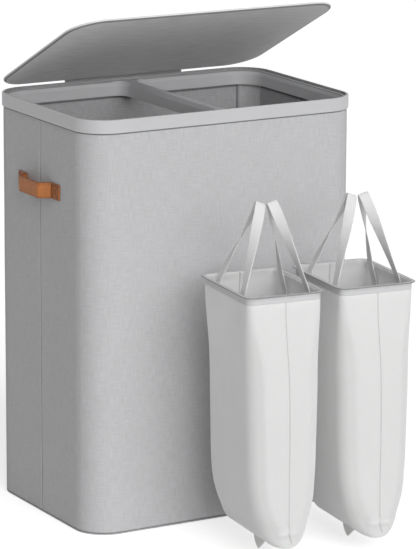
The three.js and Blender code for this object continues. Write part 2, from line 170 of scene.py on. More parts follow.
def half_round(radius: float, steps: int, faces: Array) -> tuple[Array, Array]:
    """Profile of a slab with a half-round edge: a half circle, with flat faces inwards of its ends.

    Args:
        radius: Half the slab's thickness.
        steps: How many points the half circle has.
        faces: How far in each face has outlines, from the middle outwards.

    Returns:
        How far in each outline lies, from the lower face's middle round to the upper one's, and its level.
    """
    turn = np.linspace(-pi / 2, pi / 2, steps)
    inset = np.concatenate([faces, radius * (1 - np.cos(turn)), faces[::-1]])
    low = np.zeros(len(faces))
    level = np.concatenate([low, radius * (1 + np.sin(turn)), low + 2 * radius])
    return inset, level


def edge_shares(count: int, close_up: Array | None = None) -> Array:
    """Even places along an edge, from 0 to 1 without its ends, with the close-up places among them."""
    even = np.arange(1, count) / count
    return even if close_up is None else np.unique(np.concatenate([even, close_up]))


@dataclass(frozen=True)
class Plan:
    """Samples round a rounded rectangle, counter-clockwise from its corner at +x +y.

    A sample is a corner centre, as shares of the half sizes less the radius, and the angle of the outward
    direction there, so that one set of samples fits a rectangle of any size and radius.
    """

    x: Array
    y: Array
    angle: Array

    @classmethod
    def sampled(cls, corner: int, along_x: Array, along_y: Array) -> "Plan":
        """Builds the samples.

        Args:
            corner: How many steps each corner has.
            along_x: Extra places, as shares, on the edges that run along x.
            along_y: Extra places, as shares, on the edges that run along y.

        Returns:
            The samples.
        """
        xs, ys, quarters = [], [], []
        signs = [(1, 1), (-1, 1), (-1, -1), (1, -1)]
        for turn, (sx, sy) in enumerate(signs):
            next_x, next_y = signs[(turn + 1) % 4]
            share = along_x if next_x != sx else along_y
            xs += [np.full(corner + 1, float(sx)), sx + (next_x - sx) * share]
            ys += [np.full(corner + 1, float(sy)), sy + (next_y - sy) * share]
            quarters += [turn + np.linspace(0, 1, corner + 1), np.full(len(share), turn + 1.0)]
        return cls(np.concatenate(xs), np.concatenate(ys), np.concatenate(quarters) * pi / 2)

    def at(self, half_x: Array, half_y: Array, radius: Array) -> Array:
        """Places the samples on rectangles: corner centre plus radius times the outward direction.

        Args:
            half_x: Half sizes along x, one for each rectangle.
            half_y: Half sizes along y.
            radius: Corner radii.

        Returns:
            An array of rectangles by samples by (x, y).
        """
        half_x, half_y, radius = (np.atleast_1d(v).astype(float)[:, None] for v in (half_x, half_y, radius))
        x = self.x * (half_x - radius) + radius * np.cos(self.angle)
        y = self.y * (half_y - radius) + radius * np.sin(self.angle)
        return np.stack([x, y], axis=-1)

    @property
    def outward(self) -> Array:
        """The outward direction at each sample, as (x, y)."""
        return np.stack([np.cos(self.angle), np.sin(self.angle)], axis=-1)


def at_levels(outlines: Array, levels: Array) -> Array:
    """Flat outlines lifted to a level each, as points."""
    z = np.broadcast_to(np.asarray(levels)[:, None, None], (*outlines.shape[:2], 1))
    return np.concatenate([outlines, z], axis=2)


def closed(ring: Array, axis: int) -> Array:
    """The array with its first slice along axis repeated at the end."""
    return np.concatenate([ring, np.take(ring, [0], axis=axis)], axis=axis)


def around(points: Array) -> Array:
    """Distance round each closed row of points, at each point and once more at the row's end."""
    steps = np.linalg.norm(np.diff(closed(points, 1), axis=1), axis=2)
    return np.concatenate([np.zeros((len(points), 1)), np.cumsum(steps, axis=1)], axis=1)


def linked(name: str, data: bpy.types.ID) -> Piece:
    """A new object of the scene that shows the data."""
    thing = bpy.data.objects.new(name, data)
    bpy.context.scene.collection.objects.link(thing)
    return thing


def placed(name: str, mesh: bpy.types.Mesh, sharp: float) -> Piece:
    """Puts a mesh in the scene, smooth apart from edges above an angle in degrees."""
    mesh.shade_smooth()
    mesh.set_sharp_from_angle(angle=radians(sharp))
    mesh.update()
    return linked(name, mesh)


def mesh_piece(
    name: str, points: Array, cloth: Array, close_rows: bool = False, sharp: float = 42,
    shade: Array | None = None,
) -> Piece:
    """Makes a closed piece from a grid of points whose rows are rings.

    Args:
        name: Name of the piece.
        points: Rows of ring points, counter-clockwise seen against the direction in which the rows follow.
        cloth: Place on the flat cloth for each grid corner, with one more column, and one more row where
            the rows close.
        close_rows: Whether the last row joins the first, as in a ring-shaped piece. Otherwise the first and
            last rows are filled with a fan.
        sharp: Angle in degrees above which an edge between faces shows.
        shade: How dark each point is, from 0 to 1, for the finish to darken: painted shade in seams, creases,
            gaps and under parts, and the darker leather of the handle's patches.

    Returns:
        The new object, at the origin and unturned.
    """
    rows, columns = points.shape[:2]
    bands = rows if close_rows else rows - 1
    i, j = (part.ravel() for part in np.meshgrid(np.arange(bands), np.arange(columns), indexing="ij"))
    up, right = (i + 1) % rows, (j + 1) % columns
    quads = np.stack([i * columns + j, i * columns + right, up * columns + right, up * columns + j], axis=1)
    uv = cloth[np.stack([i, i, i + 1, i + 1], axis=1), np.stack([j, j + 1, j + 1, j], axis=1)]
    vertices, faces, uvs = points.reshape(-1, 3), quads.tolist(), [uv.reshape(-1, 2)]
    if not close_rows:
        k = np.arange(columns)
        after = (k + 1) % columns
        last = (rows - 1) * columns
        fans = ((0, after, k, k + 1, k), (rows - 1, last + k, last + after, k, k + 1))
        for row, one, two, uv_one, uv_two in fans:
            centre = len(vertices)
            vertices = np.vstack([vertices, points[row].mean(axis=0)])
            faces += np.stack([np.full(columns, centre), one, two], axis=1).tolist()
            middle = np.broadcast_to(cloth[row, :-1].mean(axis=0), (columns, 2))
            uvs.append(np.stack([middle, cloth[row, uv_one], cloth[row, uv_two]], axis=1).reshape(-1, 2))
    mesh = bpy.data.meshes.new(name)
    mesh.from_pydata(vertices.tolist(), [], faces)
    layer = mesh.uv_layers.new(name=CLOTH)
    layer.data.foreach_set("uv", np.concatenate(uvs).astype(np.float32).ravel())
    if shade is not None:
        whole = np.zeros(len(vertices), np.float32)
        whole[: rows * columns] = np.broadcast_to(shade, (rows, columns)).ravel()
        mesh.attributes.new(SHADE, "FLOAT", "POINT").data.foreach_set("value", whole)
    return placed(name, mesh, sharp)


def slab(name: str, points: Array, place: Array | None = None, shade: Array | None = None) -> Piece:
    """A flat piece from its outlines, laid out on the flat cloth as it lies.

    Args:
        name: Name of the piece.
        points: Its outlines as they lie flat.
        place: The same outlines where the piece is, or none where it lies flat.
        shade: Painted shade of each outline.

    Returns:
        The new object.
    """
    return mesh_piece(name, points if place is None else place, closed(points[..., :2], 1), shade=shade)


def ribbon(
    name: str, path: Array, across: Array, width: Array, thickness: Array, section: Plan, edge: float,
    place: Callable[[Array], Array] | None = None, shade: Array | None = None,
) -> Piece:
    """Carries a flat rounded section along a path.

    The section's long way lies along across, and its short way along the path's direction crossed with
    across.

    Args:
        name: Name of the piece.
        path: Centre line, one point a row.
        across: Unit direction of the width, one for all or one at each point.
        width: Width, or the width at each point.
        thickness: Thickness, or the thickness at each point.
        section: Samples round the section.
        edge: Radius of the section's edges.
        place: Function that moves the points to where the piece is, or none.
        shade: How dark the ribbon is at each point of the path.

    Returns:
        The new object.
    """
    count = len(path)
    across = np.broadcast_to(across, (count, 3))
    width, thickness = (np.broadcast_to(size, count) for size in (width, thickness))
    up = np.cross(np.gradient(path, axis=0), across)
    up /= np.linalg.norm(up, axis=1)[:, None]
    outline = section.at(width / 2, thickness / 2, np.minimum(edge, thickness / 2))
    points = path[:, None] + outline[..., :1] * across[:, None] + outline[..., 1:] * up[:, None]
    along = np.broadcast_to(lengths_along(path)[:, None], outline.shape[:2])
    flat = closed(np.stack([along, outline[..., 0]], axis=-1), 1)
    return mesh_piece(name, place(points) if place else points, flat, shade=shade)


def sewn_box(low: tuple[float, float], high: tuple[float, float], crossed: bool, count: int) -> list[Array]:
    """Lines of stitches round a rectangle, and along its diagonals where it is crossed.

    Args:
        low: Its lower corner.
        high: The corner across.
        crossed: Whether it has diagonals.
        count: How many points each line has.

    Returns:
        The lines, one point a row.
    """
    corners = [low, (high[0], low[1]), high, (low[0], high[1])]
    pairs = [(0, 1), (1, 2), (2, 3), (3, 0)] + [(0, 2), (1, 3)] * crossed
    return [np.linspace(corners[start], corners[end], count) for start, end in pairs]


def stitches(name: str, runs: list[Array], out: Array, pitch: float, radius: float) -> Piece:
    """One piece with rows of stitches: short six-sided rods with rounded ends that dip into the cloth.

    Args:
        name: Name of the piece.
        runs: The points of each row.
        out: Outward direction of the face that they lie on.
        pitch: Distance from one stitch to the next.
        radius: Radius of the thread.

    Returns:
        The new object.
    """
    reach, sides = 0.36 * pitch, 6
    starts, ends = [], []
    for points in runs:
        length = lengths_along(points)[-1]
        count = max(int(length / pitch), 1)
        middle = (np.arange(count) + 0.5) * length / count
        starts.append(at_lengths(points, middle - reach))
        ends.append(at_lengths(points, middle + reach))
    start = np.vstack(starts)
    along = np.vstack(ends) - start
    share = np.array([0.0, 0.04, 0.18, 0.5, 0.82, 0.96, 1.0])[:, None]
    size = np.array([0.05, 0.6, 1.0, 1.0, 1.0, 0.6, 0.05])[:, None, None] * radius
    lift = np.array([-0.9, -0.5, 0.35, 0.6, 0.35, -0.5, -0.9])[:, None] * radius
    side = np.cross(along, out)
    side /= np.linalg.norm(side, axis=1)[:, None]
    angle = (np.arange(sides) / sides * 2 * pi)[:, None]
    centre = start[:, None] + along[:, None] * share + out * lift
    round_it = np.cos(angle) * side[:, None] + np.sin(angle) * out
    points = centre[:, :, None] + size * round_it[:, None]

    i, j = (part.ravel() for part in np.meshgrid(np.arange(len(share) - 1), np.arange(sides), indexing="ij"))
    right = (j + 1) % sides
    quads = np.stack([i * sides + j, (i + 1) * sides + j, (i + 1) * sides + right, i * sides + right], axis=1)
    per_rod = len(share) * sides
    first = np.arange(len(points))[:, None] * per_rod
    faces = (quads[None] + first[:, None]).reshape(-1, 4).tolist()
    faces += (first + np.arange(sides)).tolist() + (first + per_rod - 1 - np.arange(sides)).tolist()
    mesh = bpy.data.meshes.new(name)
    mesh.from_pydata(points.reshape(-1, 3).tolist(), [], faces)
    return placed(name, mesh, 60)


def smoothed_copy(node: str, name: str, bevel: float, sharp: float = 35) -> Piece:
    """A copy of a carried-over solid with joined triangles and softly rounded edges.

    Args:
        node: Name of the solid.
        name: Name of the new piece.
        bevel: Width of the rounding on its edges.
        sharp: Angle in degrees from which an edge is rounded.

    Returns:
        The new object.
    """
    work = bmesh.new()
    work.from_mesh(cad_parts[node].data)
    bmesh.ops.remove_doubles(work, verts=work.verts, dist=0.005 * MM)
    bmesh.ops.dissolve_limit(work, angle_limit=radians(0.5), verts=work.verts, edges=work.edges)
    mesh = bpy.data.meshes.new(name)
    work.to_mesh(mesh)
    work.free()
    piece = placed(name, mesh, sharp)
    modifier = piece.modifiers.new("edges", "BEVEL")
    modifier.width = bevel
    modifier.segments = 2
    modifier.limit_method = "ANGLE"
    modifier.angle_limit = radians(sharp)
    modifier.harden_normals = True
    return piece


# Materials


class Nodes:
    """Short-hand for the nodes of a material or of the world."""

    def __init__(self, tree: bpy.types.NodeTree) -> None:
        """Takes the node tree to work in."""
        self.tree = tree

    def add(self, kind: str, sockets: dict[Any, Any] | None = None, **settings: Any) -> bpy.types.Node:
        """Adds a node.

        Args:
            kind: Blender's name of the node type, without its prefix.
            sockets: Values or other nodes' outputs for its inputs.
            **settings: Properties of the node.

        Returns:
            The node.
        """
        node = self.tree.nodes.new("ShaderNode" + kind)
        for key, value in settings.items():
            setattr(node, key, value)
        for key, value in (sockets or {}).items():
            if isinstance(value, Socket):
                self.tree.links.new(value, node.inputs[key])
            else:
                node.inputs[key].default_value = value
        return node

    def maths(self, operation: str, *values: Any) -> Socket:
        """The result of a sum on numbers or other nodes' outputs."""
        return self.add("Math", dict(enumerate(values)), operation=operation).outputs[0]


class Shader(Nodes):
    """One material that starts with a surface shader."""

    def __init__(self, name: str, colour: Colour, roughness: float, **sockets: float | Colour) -> None:
        """Starts the material.

        Args:
            name: Name of the material.
            colour: Plain colour, for the viewport.
            roughness: Roughness of the surface.
            **sockets: Further values set on the surface shader, with _ for a blank in their names.
        """
        self.material = bpy.data.materials.new(name)
        self.material.use_nodes = True
        self.material.diffuse_color = (*colour, 1)
        super().__init__(self.material.node_tree)
        self.surface = self.tree.nodes["Principled BSDF"].inputs
        self.surface["Base Color"].default_value = (*colour, 1)
        self.surface["Roughness"].default_value = roughness
        for key, value in sockets.items():
            self.surface[key.replace("_", " ")].default_value = value

    def place(self) -> Socket:
        """The object's own coordinates."""
        return self.add("TexCoord").outputs["Object"]

    def noise(self, place: Socket, size: Colour, detail: float = 2) -> Socket:
        """Noise whose grain has a size in metres each way.

        Args:
            place: Coordinates to read.
            size: Grain size along each axis.
            detail: Levels of finer noise.

        Returns:
            The noise, about 0.5 in the middle.
        """
        scale = tuple(1 / length for length in size)
        moved = self.add("Mapping", {"Vector": place, "Scale": scale}, vector_type="POINT")
        sockets = {"Vector": moved.outputs[0], "Scale": 1.0, "Detail": detail, "Roughness": 0.5}
        return self.add("TexNoise", sockets).outputs["Fac"]

    def wave(self, place: Socket, pitch: float, axis: str) -> Socket:
        """Even waves along X, Y or the diagonal, one for each pitch in metres."""
        sockets = {"Vector": place, "Scale": pi / 10 / pitch, "Distortion": 0.0}
        return self.add("TexWave", sockets, bands_direction=axis).outputs["Fac"]

    def stretch(self, value: Socket, low: float, high: float, top: float = 1.0) -> Socket:
        """A value from low to high, stretched over 0 to top."""
        sockets = {"Value": value, "From Min": low, "From Max": high, "To Max": top}
        return self.add("MapRange", sockets).outputs[0]

    def between(self, share: Any, low: Any, high: Any) -> Socket:
        """A colour between two, by share.

        Args:
            share: Number or output that gives the share of the second colour.
            low: First colour, or the output that gives it.
            high: Second colour, or the output that gives it.

        Returns:
            The mixed colour.
        """
        ends = [colour if isinstance(colour, Socket) else (*colour, 1) for colour in (low, high)]
        return self.add("Mix", {0: share, 6: ends[0], 7: ends[1]}, data_type="RGBA").outputs[2]

    def varied(self, share: Socket, colour: Colour, spread: float) -> Socket:
        """A colour that swings by a spread to both sides, darker at 0 and lighter at 1."""
        return self.between(share, tint(colour, 1 - spread), tint(colour, 1 + spread))

    def clouded(
        self, place: Socket, size: Colour, colour: Colour, spread: float, detail: float = 2,
    ) -> Socket:
        """A colour with soft clouds in it.

        Args:
            place: Coordinates to read.
            size: Size of the clouds along each axis.
            colour: The colour.
            spread: How far its brightness swings.
            detail: Levels of finer clouds.

        Returns:
            The clouded colour.
        """
        return self.varied(self.stretch(self.noise(place, size, detail), 0.3, 0.7), colour, spread)

    def darkened(self, colour: Socket, deep: Colour) -> Socket:
        """A colour that gives way to a deep one by the piece's own shade attribute: painted shade, and on the
        handle's patches darker leather.
        """
        return self.between(self.add("Attribute", attribute_name=SHADE).outputs["Fac"], colour, deep)

    def finish(self, colour: Socket, height: Socket, depth: float, strength: float) -> bpy.types.Material:
        """Joins colour and relief to the surface.

        Args:
            colour: Colour of the surface.
            height: Relief, from 0 to 1.
            depth: What a relief of 1 stands for, in metres.
            strength: Share of the relief that shows.

        Returns:
            The finished material.
        """
        bump = self.add("Bump", {"Height": height, "Distance": depth, "Strength": strength})
        self.tree.links.new(colour, self.surface["Base Color"])
        self.tree.links.new(bump.outputs[0], self.surface["Normal"])
        return self.material


def tint(colour: Colour, factor: float) -> Colour:
    """A colour made lighter or darker by a factor."""
    return tuple(min(channel * factor, 1.0) for channel in colour)


@dataclass(frozen=True)
class ClothFinish:
    """Woven cloth: threads that cross, thicker places in single threads, a soft cloud of tone, and painted
    shade by the piece's shade attribute.
    """

    name: str
    colour: Colour
    pitch: float = 0.9 * MM
    slub_length: float = 16 * MM
    slub_width: float = 1.6 * MM
    contrast: float = 0.12
    roughness: float = 0.9
    gloss: float = 0.2
    sheen: float = 0.12
    relief: float = 0.5
    glow: float = 0.0
    glow_reach: float = 14 * MM
    cloud: float = 60 * MM
    # deep: share of the colour that full painted shade darkens to.
    deep: float = 0.1
    weave: Weave = Weave.PLAIN
    grain: Grain = Grain.BOTH

    def threads(self, shader: Shader, cloth: Socket) -> Socket:
        """Relief of the threads: crossing waves, or ribs that lean both ways from the middle of a webbing."""
        if self.weave is Weave.PLAIN:
            return shader.maths("MULTIPLY", *(shader.wave(cloth, self.pitch, axis) for axis in "XY"))
        parts = shader.add("SeparateXYZ", {0: cloth}).outputs
        leaning = shader.maths("ADD", parts[0], shader.maths("ABSOLUTE", parts[1]))
        return shader.wave(shader.add("CombineXYZ", {0: leaning}).outputs[0], self.pitch, "X")

    def build(self) -> bpy.types.Material:
        """Makes the material, on the place of each point on the flat cloth."""
        shader = Shader(
            self.name, self.colour, self.roughness, Sheen_Weight=self.sheen, Sheen_Roughness=0.5,
            Specular_IOR_Level=self.gloss, Subsurface_Weight=self.glow, Subsurface_Scale=self.glow_reach,
            Subsurface_Radius=(1.0, 1.0, 1.0),
        )
        cloth = shader.add("UVMap", uv_map=CLOTH).outputs[0]
        long, wide = self.slub_length, self.slub_width
        weft = shader.noise(cloth, (long, wide, 1), 3)
        warp = weft if self.grain is Grain.ALONG else shader.noise(cloth, (wide, long, 1), 3)
        slubs = shader.stretch(shader.maths("ADD", warp, weft), 0.78, 1.22)
        soft = shader.clouded(cloth, (self.cloud, self.cloud, 1), self.colour, 0.03, 3)
        tone = shader.between(0.25, shader.varied(slubs, self.colour, self.contrast), soft)
        height = shader.maths("MULTIPLY_ADD", slubs, 0.6, self.threads(shader, cloth))
        # Painted shade: the colour darkens towards deep by the piece's shade attribute.
        colour = shader.darkened(tone, tint(self.colour, self.deep))
        return shader.finish(colour, height, 0.25 * MM, self.relief)


@dataclass(frozen=True)
class PlasticFinish:
    """Satin moulded plastic: a very fine spark-eroded grain, a faint cloud of tone, and painted shade by the
    piece's shade attribute.
    """

    name: str
    colour: Colour
    roughness: float = 0.42
    grain: float = 0.7 * MM
    cloud: float = 50 * MM
    # deep: share of the colour that full painted shade darkens to.
    deep: float = 0.1

    def marked(self, shader: Shader, colour: Socket) -> Socket:
        """The colour with any lines of painted shade. Plain plastic has none."""
        return colour

    def build(self) -> bpy.types.Material:
        """Makes the material, on the object's own coordinates."""
        shader = Shader(self.name, self.colour, self.roughness)
        place = shader.place()
        tone = shader.clouded(place, (self.cloud,) * 3, self.colour, 0.015)
        # Painted shade from the shade attribute, then any lines of painted shade.
        colour = self.marked(shader, shader.darkened(tone, tint(self.colour, self.deep)))
        return shader.finish(colour, shader.noise(place, (self.grain,) * 3), 0.05 * MM, 0.35)


@dataclass(frozen=True)
class RimFinish(PlasticFinish):
    """The rim's plastic, with painted shade in the corner behind its lip and along the foot of its ledge."""

    half: tuple[float, float] = (260 * MM, 179 * MM)
    corner: float = 57 * MM
    ledge_foot: float = 696 * MM
    # Painted shade lines: their tint, and for each its inset, width and strength.
    shade_line_tint: float = 0.15
    lines: tuple[tuple[float, float, float], ...] = ((4.9 * MM, 1.3 * MM, 0.92), (9.9 * MM, 1.0 * MM, 0.62))

    def marked(self, shader: Shader, colour: Socket) -> Socket:
        """The colour with its lines of painted shade, each at its own distance in from the rim's
        round-cornered outline.

        That distance is the corner radius, less how far the place lies past the centres of the corners, or
        less the larger of its two distances past them where it lies on a straight.

        Args:
            shader: The material's short-hand.
            colour: The colour without lines.

        Returns:
            The colour with the lines.
        """
        place = shader.add("SeparateXYZ", {0: shader.place()}).outputs
        past = [
            shader.maths("SUBTRACT", shader.maths("ABSOLUTE", place[axis]), self.half[axis] - self.corner)
            for axis in (0, 1)
        ]
        beyond = [shader.maths("MAXIMUM", part, 0.0) for part in past]
        squares = [shader.maths("MULTIPLY", part, part) for part in beyond]
        round_part = shader.maths("SQRT", shader.maths("ADD", *squares))
        straight = shader.maths("MINIMUM", shader.maths("MAXIMUM", *past), 0.0)
        inset = shader.maths("SUBTRACT", self.corner, shader.maths("ADD", round_part, straight))
        shares = []
        for at, width, strength in self.lines:
            off_line = shader.maths("ABSOLUTE", shader.maths("SUBTRACT", inset, at))
            shares.append(shader.stretch(off_line, width, 0.0, strength))
        high = shader.maths("GREATER_THAN", place[2], self.ledge_foot)
        share = shader.maths("MULTIPLY", shader.maths("MAXIMUM", *shares), high)
        return shader.between(share, colour, tint(self.colour, self.shade_line_tint))


@dataclass(frozen=True)
class LeatherFinish:
    """Tan leather: pebbled grain, mottled dye, and cut edges that are burnished darker."""

    name: str
    colour: Colour
    edge: Colour
    half_width: float
    pebble: float = 1.3 * MM
    mottle: Colour = (11 * MM, 7 * MM, 7 * MM)
    dye: tuple[float, float] = (0.84, 1.14)
    burnish: tuple[float, float] = (1.6 * MM, 0.3 * MM)
    pressed_line: float = 2.9 * MM

    def build(self) -> bpy.types.Material:
        """Makes the material, on the place of each point on the flat strap."""
        shader = Shader(self.name, self.colour, 0.5, Specular_IOR_Level=0.3)
        flat = shader.add("SeparateXYZ", {0: shader.add("UVMap", uv_map=CLOTH).outputs[0]}).outputs
        place = shader.place()
        pebbles = shader.add("TexVoronoi", {"Vector": place, "Scale": 1 / self.pebble}, feature="SMOOTH_F1")
        mottle = shader.noise(place, self.mottle, 4)
        tone = shader.between(shader.stretch(mottle, 0.3, 0.7), *(tint(self.colour, dye) for dye in self.dye))
        across = shader.maths("ABSOLUTE", flat[1])
        pressed = self.half_width - self.pressed_line
        off_line = shader.maths("ABSOLUTE", shader.maths("SUBTRACT", across, pressed))
        lined = shader.between(shader.stretch(off_line, 0.7 * MM, 0.1 * MM, 0.7), tone, tint(self.edge, 0.8))
        rim = shader.stretch(across, *(self.half_width - inset for inset in self.burnish))
        burnt = shader.between(rim, lined, self.edge)
        height = shader.maths("MULTIPLY_ADD", mottle, 0.8, pebbles.outputs["Distance"])
        return shader.finish(shader.darkened(burnt, self.edge), height, 0.25 * MM, 0.5)


@dataclass(frozen=True)
class ThreadFinish:
    """Sewing thread: a fine twist."""

    name: str
    colour: Colour
    twist: float = 0.6 * MM

    def build(self) -> bpy.types.Material:
        """Makes the material, on the object's own coordinates."""
        shader = Shader(self.name, self.colour, 0.7, Sheen_Weight=0.2)
        twist = shader.wave(shader.place(), self.twist, "DIAGONAL")
        tone = shader.between(twist, tint(self.colour, 0.8), tint(self.colour, 1.1))
        return shader.finish(tone, twist, 0.1 * MM, 0.5)


class Wardrobe:
    """Every finish of the hamper, made once and handed out by name."""

    FINISHES = (
        ClothFinish(
            "grey_linen", (0.535, 0.535, 0.545), slub_length=22 * MM, slub_width=1.3 * MM, contrast=0.1,
        ),
        ClothFinish("board_cloth", (0.44, 0.44, 0.45), contrast=0.14),
        # Lining: a grey like the linen, made lighter than it; the extra lightness is painted light for the
        # lid's shaded underside.
        ClothFinish(
            "lining_cloth", (0.72, 0.72, 0.73), slub_length=40 * MM, contrast=0.13, grain=Grain.ALONG,
        ),
        ClothFinish("strip_cloth", (0.27, 0.27, 0.275), pitch=0.7 * MM),
        ClothFinish(
            "bag_cloth", (0.81, 0.81, 0.805), pitch=0.6 * MM, contrast=0.012, roughness=0.6, relief=0.15,
            sheen=0.9, glow=0.3,
        ),
        ClothFinish(
            "tape", (0.78, 0.78, 0.78), pitch=1.5 * MM, slub_length=6 * MM, slub_width=0.5 * MM,
            contrast=0.06, roughness=0.75, relief=0.6, weave=Weave.CHEVRON,
        ),
        ClothFinish(
            "tab_tape", (0.96, 0.96, 0.945), pitch=1.5 * MM, contrast=0.03, sheen=0.9, glow=0.3,
            weave=Weave.CHEVRON,
        ),
        RimFinish("rim_plastic_lined", (0.54, 0.54, 0.55)),
        PlasticFinish("lid_plastic", (0.72, 0.72, 0.73)),
        PlasticFinish("liner_plastic", (0.63, 0.63, 0.64)),
        LeatherFinish("tan_leather", (0.43, 0.15, 0.042), (0.2, 0.07, 0.03), 13.5 * MM),
        ThreadFinish("brown_thread", (0.1, 0.034, 0.016)),
        ThreadFinish("pale_thread", (0.62, 0.62, 0.61)),
    )

    def __init__(self) -> None:
        """Builds the materials."""
        self.materials = {finish.name: finish.build() for finish in self.FINISHES}

    def dress(self, piece: Piece, finish: str, slot: str, body: str, *nodes: str) -> Piece:
        """Gives a piece its material, its body and the solids that it stands for.

        Args:
            piece: The piece.
            finish: Name of its finish.
            slot: The record's material slot. Not used.
            body: The body that it rides on, or empty, which leaves it on no body.
            *nodes: Names of the solids that it replaces.

        Returns:
            The piece.
        """
        piece.data.materials.clear()
        piece.data.materials.append(self.materials[finish])
        if body:
            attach(piece, body)
        if nodes:
            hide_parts(*nodes)
        LOG.info("%s: %d faces, %s on %s", piece.name, len(piece.data.polygons), finish, body or "two bodies")
        return piece


# Sub-assemblies


@dataclass
class Shell:
    """The hamper's plan and levels, which its cover, boards, rim and lid share."""

    width: float = 520 * MM
    depth: float = 358 * MM
    height: float = 702 * MM
    corner: float = 57 * MM
    band_foot: float = 679.5 * MM
    cover_inset: float = 2.5 * MM
    board_inset: float = 4.8 * MM
    wide_board_end: float = 220 * MM
    side_board_end: float = 139 * MM

    def ring(self, plan: Plan, inset: Array) -> Array:
        """The plan's outline drawn in by each inset."""
        return plan.at(self.width / 2 - inset, self.depth / 2 - inset, self.corner - inset)

    def plate(
        self, name: str, plan: Plan, inset: float, thickness: float, face: float, foot: float,
    ) -> Piece:
        """A flat plate with a half-round edge that fills the plan.

        Args:
            name: Name of the piece.
            plan: Samples round it.
            inset: How far in from the plan its edge lies.
            thickness: Its thickness.
            face: How far in from its edge the outlines of its faces lie.
            foot: Level of its lower face.

        Returns:
            The plate.
        """
        drawn_in, level = half_round(thickness / 2, 9, np.array([face]))
        return slab(name, at_levels(self.ring(plan, inset + drawn_in), foot + level))


